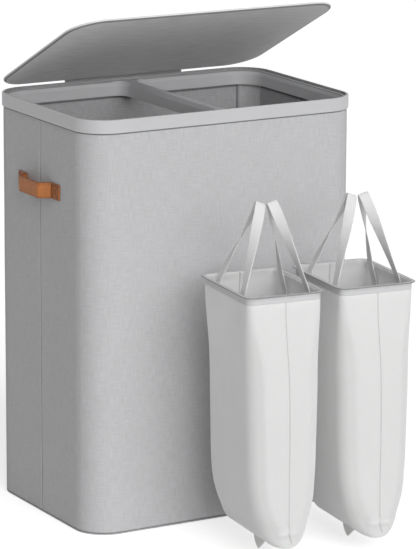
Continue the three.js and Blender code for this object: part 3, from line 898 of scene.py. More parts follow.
@dataclass
class Cover:
    """Linen cover: walls that stand over the boards, with a fold crease in each side, and a bottom.

    The crease's swell is given by its height, its distance from the crease and its width. The waves are
    rows of height, length along the wall, phase, lean, upright length and upright phase.
    """

    shell: Shell
    wardrobe: Wardrobe
    foot: float = 2.3 * MM
    top: float = 695.5 * MM
    thickness: float = 1.9 * MM
    bottom_thickness: float = 1.9 * MM
    foot_round: float = 1.6 * MM
    side_zone: float = 8 * MM
    crease_depth: float = 1.9 * MM
    crease_width: float = 1.1 * MM
    crease_swell: tuple[float, float, float] = (0.25 * MM, 7 * MM, 5 * MM)
    end_ridge: float = 0.4 * MM
    end_width: float = 2.2 * MM
    waves: tuple[tuple[float, ...], ...] = (
        (0.2 * MM, 283 * MM, 0.7, 0.0, 370 * MM, 1.1), (0.14 * MM, 121 * MM, 2.3, 3.0, 190 * MM, 0.4),
    )
    band_pinch: float = 0.35 * MM

    @property
    def plan(self) -> Plan:
        """Samples round the cover, closer together at the side creases."""
        fine = np.array([-9, -6, -4, -3, -2.2, -1.5, -1, -0.5, 0.5, 1, 1.5, 2.2, 3, 4, 6, 9]) * MM
        straight = self.shell.depth - 2 * self.shell.corner
        return Plan.sampled(26, edge_shares(44), edge_shares(30, 0.5 + fine / straight))

    def profile(self) -> tuple[Array, Array]:
        """The wall's section: up its outside from the rounded foot, over its top and down its inside.

        Returns:
            How far in from the cover's outline each ring lies, and its level.
        """
        turn = np.linspace(0, pi / 2, 5)
        near_band = self.shell.band_foot + np.array([-9, -6, -4, -2.8, -1.8, -1, -0.3, 0.5, 2]) * MM
        even = np.linspace(self.foot + 3.5 * MM, self.top - 0.6 * MM, 90)
        outside = np.unique(np.concatenate([even, near_band]))
        inside = np.linspace(self.top - 0.6 * MM, self.foot + 0.6 * MM, 24)
        inset = np.concatenate([
            self.foot_round * (1 - np.sin(turn)), np.zeros(len(outside)),
            [0.5 * MM, self.thickness - 0.5 * MM], np.full(len(inside), self.thickness),
            [self.thickness - 0.4 * MM],
        ])
        round_foot = self.foot + self.foot_round * (1 - np.cos(turn))
        return inset, np.concatenate([round_foot, outside, [self.top, self.top], inside, [self.foot]])

    def relief(self, ring: Array, along: Array, z: Array) -> Array:
        """How far the cloth stands out of its plain outline.

        A sharp valley at each fold crease with a low swell beside it, a low ridge where the ends of the
        boards press through, slow waves of a third of a millimetre, and a pinch towards the rim's band and
        the foot.

        Args:
            ring: The plain outlines.
            along: Distance round them.
            z: Their levels.

        Returns:
            The distance outwards in metres.
        """
        shell, (x, y) = self.shell, np.abs(np.moveaxis(ring, -1, 0))
        on_side = smoothstep(x, shell.width / 2 - self.side_zone, shell.width / 2 - self.side_zone / 2)
        height, away, width = self.crease_swell
        crease = height * bell(y - away, width) - self.crease_depth * bell(y, self.crease_width)
        on_front = y > shell.depth / 2 - self.side_zone
        ends = bell(x - shell.wide_board_end, self.end_width) * on_front
        ends = self.end_ridge * (ends + bell(y - shell.side_board_end, self.end_width) * on_side)
        waves = sum(
            height * ripple(along, length, phase + lean * z) * ripple(z, upright, start)
            for height, length, phase, lean, upright, start in self.waves
        )
        body = smoothstep(z, 0.0, 30 * MM) * (1 - smoothstep(z, shell.band_foot - 30 * MM, shell.band_foot))
        pinch = self.band_pinch * smoothstep(z, shell.band_foot - 16 * MM, shell.band_foot)
        return crease * on_side + (ends + waves) * body - pinch

    def shade(self, points: Array, inside: Array) -> Array:
        """Painted shade at each point: in the creases, under the band, at the foot, and past the boards'
        ends.

        Args:
            points: The wall's points.
            inside: Whether each ring lies on the wall's inside.

        Returns:
            The painted shade from 0 to 1.
        """
        shell, (x, y, z) = self.shell, np.abs(np.moveaxis(points, -1, 0))
        crease = 0.85 * bell(y, 0.9 * MM) * (x > shell.width / 2 - self.side_zone)
        under_band = 0.8 * smoothstep(z, shell.band_foot - 3 * MM, shell.band_foot - 1 * MM)
        foot = 0.6 * (1 - smoothstep(z, self.foot, self.foot + 3.5 * MM))
        past_ends = 0.9 * bell(x - shell.wide_board_end - self.end_width, 1.8 * MM) * (y > 0.4 * shell.depth)
        return np.where(inside, np.maximum(past_ends, crease), np.maximum.reduce([crease, under_band, foot]))

    def build(self) -> None:
        """Builds the walls and the bottom."""
        plan, (inset, z) = self.plan, self.profile()
        ring = self.shell.ring(plan, self.shell.cover_inset + inset)
        along = around(ring)
        stand = self.relief(ring, along[:, :-1], z[:, None])
        points = at_levels(ring + stand[..., None] * plan.outward, z)
        flat = np.stack(np.broadcast_arrays(along[:1], z[:, None]), axis=-1)
        shade = self.shade(points, inset[:, None] > 0.9 * self.thickness)
        walls = mesh_piece("cover_cloth", points, closed(flat, 0), close_rows=True, shade=shade)
        self.wardrobe.dress(walls, "grey_linen", "grey_linen", "hamper", "cover_walls")

        thickness = self.bottom_thickness
        bottom = self.shell.plate("cover_bottom_cloth", plan, self.shell.cover_inset, thickness, 8 * MM, 0.0)
        self.wardrobe.dress(bottom, "grey_linen", "grey_linen", "hamper", "cover_bottom")


@dataclass
class Boards:
    """Cloth-covered boards that stand inside the cover, and one that lies on its bottom."""

    shell: Shell
    wardrobe: Wardrobe
    thickness: float = 4 * MM
    foot: float = 6.3 * MM
    top: float = 690 * MM
    base_foot: float = 2.3 * MM
    base_thickness: float = 3.7 * MM
    crease_gap: float = 3 * MM
    edge: float = 1.3 * MM
    crown: float = 0.25 * MM
    # Level and width of a band of painted shadow on the boards, under the foot of the rim's mouth walls.
    line: float = 669.5 * MM
    line_width: float = 1.7 * MM

    def upright(self, tag: str, low: float, high: float, run_x: bool, side: Side) -> None:
        """Builds one upright board, whose outer face follows the cover's round corner at its ends.

        Its section is a rounded rectangle of the board's thickness and height, carried along the wall. The
        outer face leaves the wall's line by the corner's radius less the height of its arc.

        Args:
            tag: Which board it is, in the names of the piece and of its solid.
            low: Where it starts along the wall.
            high: Where it ends.
            run_x: Whether it runs along x, as the front and back ones do.
            side: Which of the two facing walls it stands at.
        """
        shell = self.shell
        half, wall = (shell.width / 2, shell.depth / 2) if run_x else (shell.depth / 2, shell.width / 2)
        wall -= shell.board_inset
        corner = shell.corner - shell.board_inset
        turn = np.linspace(0, pi / 2, 5)[:-1]
        rounded, ease = self.edge * (1 - np.cos(turn)), np.sin(turn)
        straight = np.linspace(low + self.edge, high - self.edge, 40)
        place = np.concatenate([low + rounded, straight, high - rounded[::-1]])
        round_end = np.concatenate([ease, np.ones(len(straight)), ease[::-1]])
        past = np.maximum(np.abs(place) - (half - shell.corner), 0)
        outer = wall - corner + np.sqrt(corner**2 - past**2)
        inner = wall - self.thickness
        half_thick = np.maximum((outer - inner) / 2 * (0.25 + 0.75 * round_end), 0.2 * MM)
        half_high = (self.top - self.foot) / 2 - self.edge * (1 - round_end)
        fine = self.top - self.edge - self.line + np.array([-6, -3.4, -2.2, -1.2, 0, 1.2, 2.2, 3.4, 6]) * MM
        fine /= self.top - self.foot - 2 * self.edge
        plan = Plan.sampled(5, edge_shares(2), edge_shares(40, np.concatenate([fine, 1 - fine])))
        across, up = np.moveaxis(plan.at(half_thick, half_high, np.minimum(self.edge, half_thick)), -1, 0)
        crown = self.crown * arch(up, half_high[:, None]) * (across < 0)
        off = side.value * ((outer + inner)[:, None] / 2 + across - crown * round_end[:, None])
        z = (self.top + self.foot) / 2 + up
        run = np.broadcast_to(place[:, None], z.shape)
        points = np.stack([run, off, z] if run_x else [off, run, z], axis=-1)
        if (side is Side.RIGHT) == run_x:
            points = points[::-1]
        flat = closed(points[..., [0 if run_x else 1, 2]], 1)
        # Painted shadow: the board's cloth darkens in a band at that level, under the rim's mouth walls.
        shade = 0.75 * bell(points[..., 2] - self.line, self.line_width)
        board = mesh_piece(f"{tag}_panel", points, flat, shade=shade)
        self.wardrobe.dress(board, "board_cloth", "board_fabric", "hamper", f"{tag}_board")

    def build(self) -> None:
        """Builds the six upright boards and the one at the bottom."""
        wide, far, near = self.shell.wide_board_end, self.shell.side_board_end, self.crease_gap / 2
        self.upright("front", -wide, wide, True, Side.LEFT)
        self.upright("back", -wide, wide, True, Side.RIGHT)
        for side in Side:
            self.upright(f"{side.word}_front", -far, -near, False, side)
            self.upright(f"{side.word}_back", near, far, False, side)
        plan = Plan.sampled(16, edge_shares(30), edge_shares(20))
        inset, thickness = self.shell.board_inset, self.base_thickness
        base = self.shell.plate("base_panel", plan, inset, thickness, 12 * MM, self.base_foot)
        self.wardrobe.dress(base, "board_cloth", "board_fabric", "hamper", "base_board")


@dataclass
class Lid:
    """Lid: moulded panel with a rounded edge, a cloth lining under it, and the strip that it folds on."""

    shell: Shell
    wardrobe: Wardrobe
    side_inset: float = 8 * MM
    back_inset: float = 7.2 * MM
    front_inset: float = 4.6 * MM
    corner: float = 55 * MM
    panel_thickness: float = 3.9 * MM
    lining_thickness: float = 0.9 * MM
    lining_margin: float = 2.6 * MM
    hem_dip: float = 0.22 * MM
    underside: float = 698.1 * MM
    gap: float = 0.3 * MM
    hinge: tuple[float, float] = (189.5 * MM, 678.5 * MM)
    opening: float = radians(25.9)
    strip_width: float = 230 * MM
    strip_thickness: float = 1.2 * MM
    strip_sewn: float = 21 * MM

    @property
    def panel_foot(self) -> float:
        """Level of the closed panel's lower face."""
        return self.underside + self.lining_thickness + self.gap

    def opened(self, points: Array) -> Array:
        """Turns points of the closed lid about the hinge line to its rest opening."""
        y, z = points[..., 1] - self.hinge[0], points[..., 2] - self.hinge[1]
        c, s = cos(self.opening), sin(self.opening)
        turned = self.hinge[0] + c * y + s * z, self.hinge[1] - s * y + c * z
        return np.stack([points[..., 0], *turned], axis=-1)

    def rings(self, margin: Array, level: Array, steps: int) -> Array:
        """Outlines of the closed lid.

        Args:
            margin: How far in from the lid's edge each lies. Its corners limit it.
            level: Level of each.
            steps: How many steps each corner has.

        Returns:
            The points.
        """
        plan = Plan.sampled(steps, edge_shares(24), edge_shares(16))
        margin = np.minimum(margin, self.corner - 2 * MM)
        front = -self.shell.depth / 2 + self.front_inset
        back = self.shell.depth / 2 - self.back_inset
        half_x, half_y = self.shell.width / 2 - self.side_inset, (back - front) / 2
        flat = plan.at(half_x - margin, half_y - margin, self.corner - margin)
        return at_levels(flat + [0, (front + back) / 2], level)

    def build_panel(self) -> None:
        """Builds the panel, whose edge is a half round."""
        half = self.panel_thickness / 2
        margin, level = half_round(half, 13, np.array([60, 12]) * MM)
        points = self.rings(margin, self.panel_foot + level, 24)
        # Painted shade on the lower face's margin, along the underside of the half-round edge.
        shade = 0.6 * ((level < 0.4 * half) & (margin < self.lining_margin + 1 * MM))[:, None]
        panel = slab("lid_shell", points, self.opened(points), shade)
        self.wardrobe.dress(panel, "lid_plastic", "rim_plastic", "lid", "lid_panel")

    def build_lining(self) -> None:
        """Builds the lining, drawn a little thinner along its turned-in edge."""
        inward = np.array([50, 20, 9, 7, 5, 3.2, 2.2, 1.2]) * MM
        margin, level = half_round(self.lining_thickness / 2, 7, inward)
        level[3:5] += self.hem_dip
        points = self.rings(self.lining_margin + margin, self.underside + level, 20)
        # Painted shade along the lining's turned-in edge, where it meets the panel's edge.
        lining = slab("lid_lining_cloth", points, self.opened(points), 0.7 * (margin < 1.5 * MM)[:, None])
        self.wardrobe.dress(lining, "lining_cloth", "lining_fabric", "lid", "lid_lining")

    def build_strip(self) -> None:
        """Builds the strip: sewn flat on the cover, out round the band's foot, and up to the lid."""
        half_depth, band_foot = self.shell.depth / 2, self.shell.band_foot
        thickness, width = self.strip_thickness, self.strip_width
        on_cover = half_depth - self.shell.cover_inset + self.gap + thickness / 2
        behind_band = half_depth + 0.6 * MM + thickness / 2
        sewn_top = band_foot - 4 * MM
        on_edge = half_depth - self.back_inset + self.gap + thickness / 2
        high = self.panel_foot + 0.75 * self.panel_thickness
        lifted = self.opened(np.array([[0, on_edge, self.panel_foot], [0, on_edge, high]]))
        curve = through(np.array([
            [0, on_cover, sewn_top], [0, behind_band, band_foot],
            [0, behind_band, (band_foot + self.shell.height) / 2], *lifted,
        ]))
        sewn = np.linspace([0, on_cover, sewn_top - self.strip_sewn], [0, on_cover, sewn_top], 8)[:-1]
        path = np.vstack([sewn, evenly(curve, 40)])
        section = Plan.sampled(3, edge_shares(60), edge_shares(2))
        strip = ribbon("hinge_strip_cloth", path, np.array([-1.0, 0, 0]), width, thickness, section, 0.5 * MM)
        self.wardrobe.dress(strip, "strip_cloth", "hinge_fabric", "", "hinge_strip")
        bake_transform(strip)

        face, right = on_cover + thickness / 2 + THREAD_LIFT, width / 2 - 3 * MM
        box = sewn_box((-right, sewn_top - 18.5 * MM), (right, sewn_top - 2.5 * MM), False, 8)
        runs = [np.insert(run, 1, face, axis=1) for run in box]
        sewing = stitches("hinge_strip_stitching", runs, np.array([0.0, 1, 0]), 3.2 * MM, 0.4 * MM)
        self.wardrobe.dress(sewing, "pale_thread", "hinge_fabric", "hamper")

    def build(self) -> None:
        """Builds the panel, the lining and the strip."""
        self.build_panel()
        self.build_lining()
        self.build_strip()


@dataclass
class Handle:
    """Leather carrying strap on one side: a stitched patch at each end and an arch between them."""

    shell: Shell
    wardrobe: Wardrobe
    side: Side
    length: float = 148 * MM
    width: float = 27 * MM
    thickness: float = 3 * MM
    edge: float = 0.9 * MM
    gap: float = 0.3 * MM
    rise: float = 19.5 * MM
    patch: float = 28 * MM
    centre: float = 567 * MM
    ramp_share: float = 0.31
    ramp_power: float = 1.4
    end_round: float = 1.5 * MM
    sewn_inset: float = 3.2 * MM
    patch_shade: float = 0.15

    @property
    def free(self) -> float:
        """Half the length between the patches."""
        return self.length / 2 - self.patch

    def line(self, y: Array, lift: float = 0.0) -> Array:
        """The strap's centre line at each y, lifted outwards: flat on the patches, out between them."""
        wall = self.shell.width / 2 - self.shell.cover_inset + self.gap + self.thickness / 2
        climb = np.clip((self.free - np.abs(y)) / (self.ramp_share * self.free), 0, 1)
        out = wall + lift + self.rise * np.sin(pi / 2 * climb) ** self.ramp_power
        return np.stack([self.side.value * out, y, np.full_like(y, self.centre)], axis=1)

    def build(self) -> None:
        """Builds the strap and its stitching."""
        half = self.length / 2
        path = evenly(self.line(self.side.value * np.linspace(-half, half, 1200)), 150)
        y = np.abs(path[:, 1])
        near_end = np.clip((half - y) / self.end_round, 0, 1)
        end = np.sqrt(np.clip(1 - (1 - near_end) ** 2, 0.05, 1))
        section = Plan.sampled(4, edge_shares(24), edge_shares(3))
        name = f"{self.side.word}_handle"
        up, width, thickness = np.array([0.0, 0, 1]), self.width - 2 * MM * (1 - end), self.thickness * end
        shade = self.patch_shade * smoothstep(y, self.free - 2 * MM, self.free + 1 * MM)[:, None]
        strap = ribbon(f"{name}_leather", path, up, width, thickness, section, self.edge, shade=shade)
        self.wardrobe.dress(strap, "tan_leather", "tan_leather", "hamper", name)

        high, runs = self.width / 2 - self.sewn_inset, []
        box = sewn_box((self.free + self.sewn_inset, -high), (half - self.sewn_inset, high), True, 12)
        for end_sign in (-1, 1):
            for run in box:
                row = self.line(end_sign * run[:, 0], self.thickness / 2 + THREAD_LIFT)
                row[:, 2] += run[:, 1]
                runs.append(row)
        out = np.array([float(self.side.value), 0, 0])
        sewing = stitches(f"{name}_stitching", runs, out, 3.4 * MM, 0.6 * MM)
        self.wardrobe.dress(sewing, "brown_thread", "tan_leather", "hamper")


@dataclass
class LinerShape:
    """Sizes and form that both liner bags share. Heights in its methods count from the bottom seam."""

    height: float = 452 * MM
    width: float = 131 * MM
    depth: float = 180 * MM
    corner: float = 12.6 * MM
    band_height: float = 13 * MM
    band_wall: float = 1.5 * MM
    flange: float = 5.6 * MM
    flange_thickness: float = 1.5 * MM
    cloth: float = 1.3 * MM
    body_width: float = 123.2 * MM
    body_depth: float = 186.4 * MM
    shift: tuple[float, float] = (4 * MM, 2 * MM)
    hang_height: float = 120 * MM
    round_height: float = 155 * MM
    end_round_height: float = 14 * MM
    round_power: float = 2.87
    taper: float = 0.156
    depth_taper: float = -0.05
    end_share: float = 0.96
    seam: float = 26.9 * MM
    seam_half: float = 2.6 * MM
    gap: float = 0.3 * MM
    full_corner: float = 30 * MM
    low_corner: float = 40 * MM
    low_zone: tuple[float, float] = (15 * MM, 85 * MM)
    corner_share: float = 0.82
    corner_swell: float = 0.25
    drift_height: float = 160 * MM
    seam_bow: float = 2.6 * MM
    bow_zone: tuple[float, float] = (31 * MM, 309 * MM)
    foot_shift: float = 3.5 * MM
    foot_shift_height: float = 110 * MM
    end_bow: float = 2.5 * MM
    side_swell: float = 3.2 * MM
    ridge: float = 3.5 * MM
    ridge_height: float = 28 * MM
    welt: float = 0.5 * MM
    groove: float = 0.9 * MM
    pucker_share: float = 0.35
    pucker_pitch: float = 11 * MM
    tuck_depth: float = 1.1 * MM
    tuck_zones: tuple[float, float, float, float] = (7 * MM, 11 * MM, 26 * MM, 30 * MM)
    high_fold: tuple[float, float] = (0.16 * MM, 37 * MM)
    low_fold: tuple[float, float] = (0.2 * MM, 83 * MM)

    @property
    def reach(self) -> float:
        """Height of the rim's top above the bottom seam."""
        return self.height - self.seam

    @property
    def hem_foot(self) -> float:
        """Height of the band's foot above the bottom seam."""
        return self.reach - self.band_height

    def round_in(self, share: Array) -> Array:
        """Superellipse that rounds the bag in to its seam: 0 at the seam, 1 from a share of 1."""
        rest = 1 - np.clip(share, 0, 1)
        return (1 - rest**self.round_power) ** (1 / self.round_power)

    def below_band(self, height: Array, reach: float) -> Array:
        """0 at the band, easing to 1 at a reach below it."""
        return smoothstep(self.hem_foot - np.asarray(height), 0, reach)

    def hang(self, height: Array) -> Array:
        """0 at the band, easing to 1 where the body hangs free of it."""
        return self.below_band(height, self.hang_height)

    def drift(self, height: Array) -> Array:
        """Share of the sideways shift: 0 at the band, easing to 1 well below it."""
        return self.below_band(height, self.drift_height)

    def seam_line(self, height: Array) -> Array:
        """Where the long seam lies across the front, bowed out by half a sine between its ends."""
        foot, length = self.bow_zone
        return self.seam_bow * np.sin(pi * np.clip((height - foot) / length, 0, 1))

    def corner_radius(self, height: Array) -> Array:
        """Corner radius at each height: tight at the band, full below it and fullest near the bottom."""
        low = 1 - smoothstep(height, *self.low_zone)
        full = self.full_corner + (self.low_corner - self.full_corner) * low
        radius = self.corner + (full - self.corner) * self.hang(height)
        return np.minimum(radius, self.corner_share * self.half_sizes(height)[0])

    def half_sizes(self, height: Array) -> tuple[Array, Array]:
        """Half width and half depth of the body, rounded in towards the seam and eased out from the band.

        Args:
            height: Heights above the bottom seam.

        Returns:
            The half width and the half depth at each height.
        """
        height = np.asarray(height, float)
        share, hang = 1 - height / self.reach, self.hang(height)
        wide = self.width + (self.body_width * (1 - self.taper * share) - self.width) * hang
        deep = self.depth + (self.body_depth * (1 - self.depth_taper * share) - self.depth) * hang
        wide += 2 * self.corner_swell * (self.full_corner - self.corner) * hang
        wide = np.maximum(wide / 2 * self.round_in(height / self.round_height), self.seam_half)
        ends = self.end_share + (1 - self.end_share) * self.round_in(height / self.end_round_height)
        return wide, deep / 2 * ends

    @staticmethod
    def off_tuck(x: Array, height: Array) -> Array:
        """Distance to the tuck's line, which leans to the right as it goes down."""
        return x - (4.5 - 6.5 * np.clip((height - 9 * MM) / (19 * MM), 0, 1)) * MM

    def in_tuck(self, height: Array) -> Array:
        """1 along the tuck's height and 0 above and below it."""
        return smoothstep(height, *self.tuck_zones[:2]) * (1 - smoothstep(height, *self.tuck_zones[2:]))

    def relief(self, x: Array, y: Array, height: Array, depth: Array) -> Array:
        """How far the bag's cloth stands out of its plain outline.

        A sewn welt with a groove on each side down the middle of the front and back, a short tuck that leans
        at its foot, soft upright folds on the sides that fade towards the band, a low swell over the whole of
        each side, and a ridge across each end where it turns under.

        Args:
            x: Place across the bag.
            y: Place along its depth.
            height: Height of each outline.
            depth: Half depth of each outline.

        Returns:
            The distance outwards in metres.
        """
        free = self.hang(height)
        on_end = smoothstep(np.abs(y) - depth, -4 * MM, -1 * MM)
        across = x - self.seam_line(height)
        pucker = 1 + self.pucker_share * ripple(height, self.pucker_pitch)
        welt = self.welt * bell(across + 1.6 * MM, 1.1 * MM) - self.groove * bell(across, 0.8 * MM) * pucker
        welt = welt * smoothstep(height, 29 * MM, 35 * MM)
        welt -= self.tuck_depth * bell(self.off_tuck(x, height), 1.0 * MM) * self.in_tuck(height)
        rise, pitch = self.high_fold
        folds = rise * ripple(y, pitch, 5 * height) * smoothstep(height, 60 * MM, 200 * MM)
        rise, pitch = self.low_fold
        folds += rise * ripple(y, pitch, 1.3 - 7 * height)
        swell = self.side_swell * arch(y, depth) * np.sin(pi * np.clip(height / self.hem_foot, 0, 1))
        bow = self.end_bow * arch(x, self.half_sizes(height)[0])
        bow = bow * self.below_band(height, 110 * MM) * smoothstep(height, 0, 90 * MM)
        ridge = self.ridge * bell(height - self.ridge_height, 6.5 * MM) * (1 - bell(across, 3 * MM) * 0.5)
        ridge = ridge * on_end * (1 - smoothstep(np.abs(across), 14 * MM, 38 * MM))
        on_side = (1 - on_end) * free * smoothstep(height, 0, 20 * MM)
        return (welt + bow) * on_end + ridge + (folds + swell) * on_side

    def seam_shade(self, x: Array, y: Array, height: Array, depth: Array) -> Array:
        """How dark the sewn lines on the front and back are, as painted shade: in the long seam's groove
        above the tuck, and in the tuck.
        """
        on_end = smoothstep(np.abs(y) - depth, -4 * MM, -1 * MM)
        seam = 0.42 * bell(x - self.seam_line(height), 0.75 * MM) * smoothstep(height, 29 * MM, 37 * MM)
        tuck = 0.5 * bell(self.off_tuck(x, height), 0.8 * MM) * self.in_tuck(height)
        return np.maximum(seam, tuck) * on_end

    def rows(self, height: Array, drawn: Array) -> tuple[Array, Array, Array]:
        """Outlines of the bag in its own frame.

        Args:
            height: Height of each outline.
            drawn: How far in from the bag's plain outside it lies.

        Returns:
            The points, their places on the flat cloth, and their painted shade.
        """
        fine = np.array([-8, -5, -3.5, -2.6, -1.8, -1.2, -0.6, 0.6, 1.2, 1.8, 2.4, 3, 3.6, 4.2, 5, 6, 8]) * MM
        plan = Plan.sampled(12, edge_shares(20, 0.5 + fine / (98 * MM)), edge_shares(56))
        half_x, half_y = self.half_sizes(height)
        half_x, half_y = np.maximum(half_x - drawn, 1.0 * MM), half_y - drawn
        radius = np.clip(self.corner_radius(height) - drawn, 0.6 * MM, self.corner_share * half_x)
        ring = plan.at(half_x, half_y, radius)
        place = (ring[..., 0], ring[..., 1], height[:, None], half_y[:, None])
        shade = self.seam_shade(*place)
        aside = self.drift(height)[:, None] * np.array(self.shift)
        aside[:, 0] += self.foot_shift * (1 - smoothstep(height, 0, self.foot_shift_height))
        ring = ring + self.relief(*place)[..., None] * plan.outward + aside[:, None]
        points = at_levels(ring, self.seam + height)
        along = np.broadcast_to(around(points)[-1:], (len(height), points.shape[1] + 1))
        return points, np.stack([along, closed(points, 1)[..., 2]], axis=-1), shade


@dataclass
class Liner:
    """One liner bag: plastic rim, cloth bag with sewn seams, two webbing loops and a pull tab."""

    name: str
    wardrobe: Wardrobe
    x: float
    y: float
    shape: LinerShape = field(default_factory=LinerShape)
    yaw: float = radians(-6)
    tab_lean: float = 4 * MM
    tab_back: float = 14 * MM
    tab_turn: float = radians(24)
    tab_length: float = 46 * MM
    tape_width: float = 17.6 * MM
    tape: float = 1.6 * MM
    half_span: float = 48 * MM
    pivot_inset: float = 54.7 * MM
    pivot_lift: float = 2 * MM
    rise: float = 132 * MM
    apex_offset: float = 10.2 * MM
    apex_shift: float = 5 * MM
    fold_reach: float = 6 * MM
    straight_share: float = 0.8
    twist: float = 1.7
    peel: float = 28 * MM
    tail: float = 46 * MM

    def stand(self, points: Array) -> Array:
        """Turns points of the bag's own frame by its yaw and moves them to its place."""
        c, s = cos(self.yaw), sin(self.yaw)
        x, y = points[..., 0], points[..., 1]
        return np.stack([self.x + c * x - s * y, self.y + s * x + c * y, points[..., 2]], axis=-1)

    def build_rim(self) -> None:
        """Builds the rim: a band with a flange whose edge is rounded and turns down a little."""
        shape = self.shape
        wall_in, wall_out = shape.gap - shape.band_wall, shape.gap
        foot, top = shape.height - shape.band_height, shape.height
        under = top - shape.flange_thickness
        lip = wall_out + shape.flange
        nose = shape.flange_thickness / 2
        turn = np.linspace(-pi / 2, pi / 2, 7)
        bead = 0.5 * MM
        profile = np.array([
            *[(wall_out - bead + bead * sin(a), foot + bead - bead * cos(a)) for a in (0, pi / 4, pi / 2)],
            *[(wall_out + 1 * MM * (1 - cos(a)), under - 1 * MM * (1 - sin(a))) for a in turn[3:]],
            *[(lip - nose + nose * cos(a), under + nose + nose * sin(a)) for a in turn],
            (wall_out + 1.2 * MM, top), (wall_in + 1 * MM, top),
            *[(wall_in + 0.7 * MM * (1 - sin(a)), top - 0.7 * MM * (1 - cos(a))) for a in turn[4:]],
            (wall_in, foot + 0.4 * MM), (wall_in + 0.3 * MM, foot),
        ])
        out, level = profile.T
        plan = Plan.sampled(16, edge_shares(10), edge_shares(14))
        points = at_levels(plan.at(shape.width / 2 + out, shape.depth / 2 + out, shape.corner + out), level)
        # Painted shadow: the flange's rounded nose is darkened for the shadow line under its edge.
        shade = 0.72 * smoothstep(out, lip - 1.2 * nose, lip - 0.6 * nose)[:, None]
        flat = closed(closed(points[..., :2], 1), 0)
        rim = mesh_piece(f"{self.name}_rim_ring", self.stand(points), flat, close_rows=True, shade=shade)
        self.wardrobe.dress(rim, "liner_plastic", "rim_plastic", self.name, f"{self.name}_rim")

    def build_bag(self) -> None:
        """Builds the bag as one shell: up its outside from the seam, over the hem and down its inside."""
        shape = self.shape
        hem, hem_top = shape.hem_foot, shape.reach - shape.flange_thickness - shape.gap
        low = shape.round_height * np.linspace(0, 1, 34) ** 2.2
        mid = np.linspace(shape.round_height, hem - 1.2 * MM, 52)[1:]
        tucked = [0.3 * MM, shape.band_wall, shape.band_wall]
        outside = np.concatenate([low, mid, [hem - 0.5 * MM, hem, hem_top]])
        outer = shape.rows(outside, np.concatenate([np.zeros(len(low) + len(mid)), tucked]))
        inside = np.concatenate([[hem_top], np.linspace(hem, shape.round_height, 24), low[::2][::-1][1:-3]])
        inner = shape.rows(inside, shape.cloth + np.where(inside >= hem, shape.band_wall, 0))
        points, flat, shade = (np.concatenate(pair) for pair in zip(outer, inner))
        bag = mesh_piece(f"{self.name}_bag_cloth", self.stand(points), flat, sharp=60, shade=shade)
        self.wardrobe.dress(bag, "bag_cloth", "white_fabric", self.name, f"{self.name}_bag")

    def wall_line(self, side: Side, z: float) -> float:
        """Where a tail's centre line lies on the inside of the bag's wall, at a height above the floor."""
        shape = self.shape
        height = z - shape.seam
        inside = float(shape.half_sizes(height)[0]) - 1.6 * MM - shape.gap - self.tape / 2
        return side.value * inside + shape.shift[0] * float(shape.drift(height))

    def tail_run(self, side: Side, end: int) -> Array:
        """Centre line of one tail, from its sewn foot up to just under the rim's mouth.

        Args:
            side: The side of the bag that its loop is on.
            end: Which of the loop's two ends it is: -1 at the front and 1 at the back.

        Returns:
            The points of the line.
        """
        shape = self.shape
        peel, foot = shape.height - self.peel, shape.height - self.tail
        x, top, y = side.value * self.pivot_inset, shape.height + self.pivot_lift, end * self.half_span
        x_peel = self.wall_line(side, peel)
        curve = through(np.array([[x_peel, y, peel], [(x + x_peel) / 2, y, (top + peel) / 2], [x, y, top]]))
        sewn = np.linspace([self.wall_line(side, foot), y, foot], curve[0], 12)[:-1]
        return np.vstack([sewn, evenly(curve, 20)[:-1]])

    def loop_run(self, side: Side, pivot: Array) -> tuple[Array, Array]:
        """Centre line of one webbing loop with its two tails, and the direction of its width.

        The legs run straight up the leaning plane from the pivot line to a tight fold. The direction of the
        width turns a quarter, from along the wall at the pivot line to across the loop's plane at the fold,
        by the share of the height to a power.

        Args:
            side: Which of the bag's two loops it is.
            pivot: Middle of the line that the loop folds about.

        Returns:
            The points of the line, and the direction at each.
        """
        apex_x = side.value * self.apex_offset + self.apex_shift
        up = np.array([apex_x, 0, self.shape.height + self.rise]) - pivot
        apex, rise = pivot + up, float(np.linalg.norm(up))
        up /= rise
        back = np.array([0.0, 1, 0])
        normal = np.cross(back, up)
        halves = []
        for end in (-1, 1):
            foot = pivot + back * end * self.half_span
            fold = pivot + back * end * self.fold_reach + up * rise
            lower = foot + (fold - foot) * self.straight_share
            leg, tail = bezier(np.array([foot, lower, fold, apex]), 70), self.tail_run(side, end)
            share = np.clip((leg - pivot) @ up / rise, 0, 1)
            turn = pi / 2 * (1 - share**self.twist)[:, None]
            leg_across = np.cos(turn) * normal + end * np.sin(turn) * back
            tail_across = np.tile(end * back, (len(tail), 1))
            half = np.hstack([np.vstack([tail, leg]), np.vstack([tail_across, leg_across])])
            halves.append(half if end < 0 else half[::-1][1:])
        return tuple(np.hsplit(np.vstack(halves), 2))

    def build_loop(self, side: Side) -> None:
        """Builds one webbing loop, and the stitching of its two tails."""
        shape, tag = self.shape, f"{self.name}_{side.word}"
        pivot = np.array([side.value * self.pivot_inset, 0, shape.height + self.pivot_lift])
        path, across = self.loop_run(side, pivot)
        section = Plan.sampled(3, edge_shares(14), edge_shares(2))
        loop = ribbon(
            f"{tag}_loop_tape", path, across, self.tape_width, self.tape, section, 0.6 * MM, place=self.stand,
        )
        nodes = (f"{tag}_strap", f"{tag}_front_tail", f"{tag}_back_tail")
        self.wardrobe.dress(loop, "tape", "webbing", "", *nodes)
        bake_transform(loop)

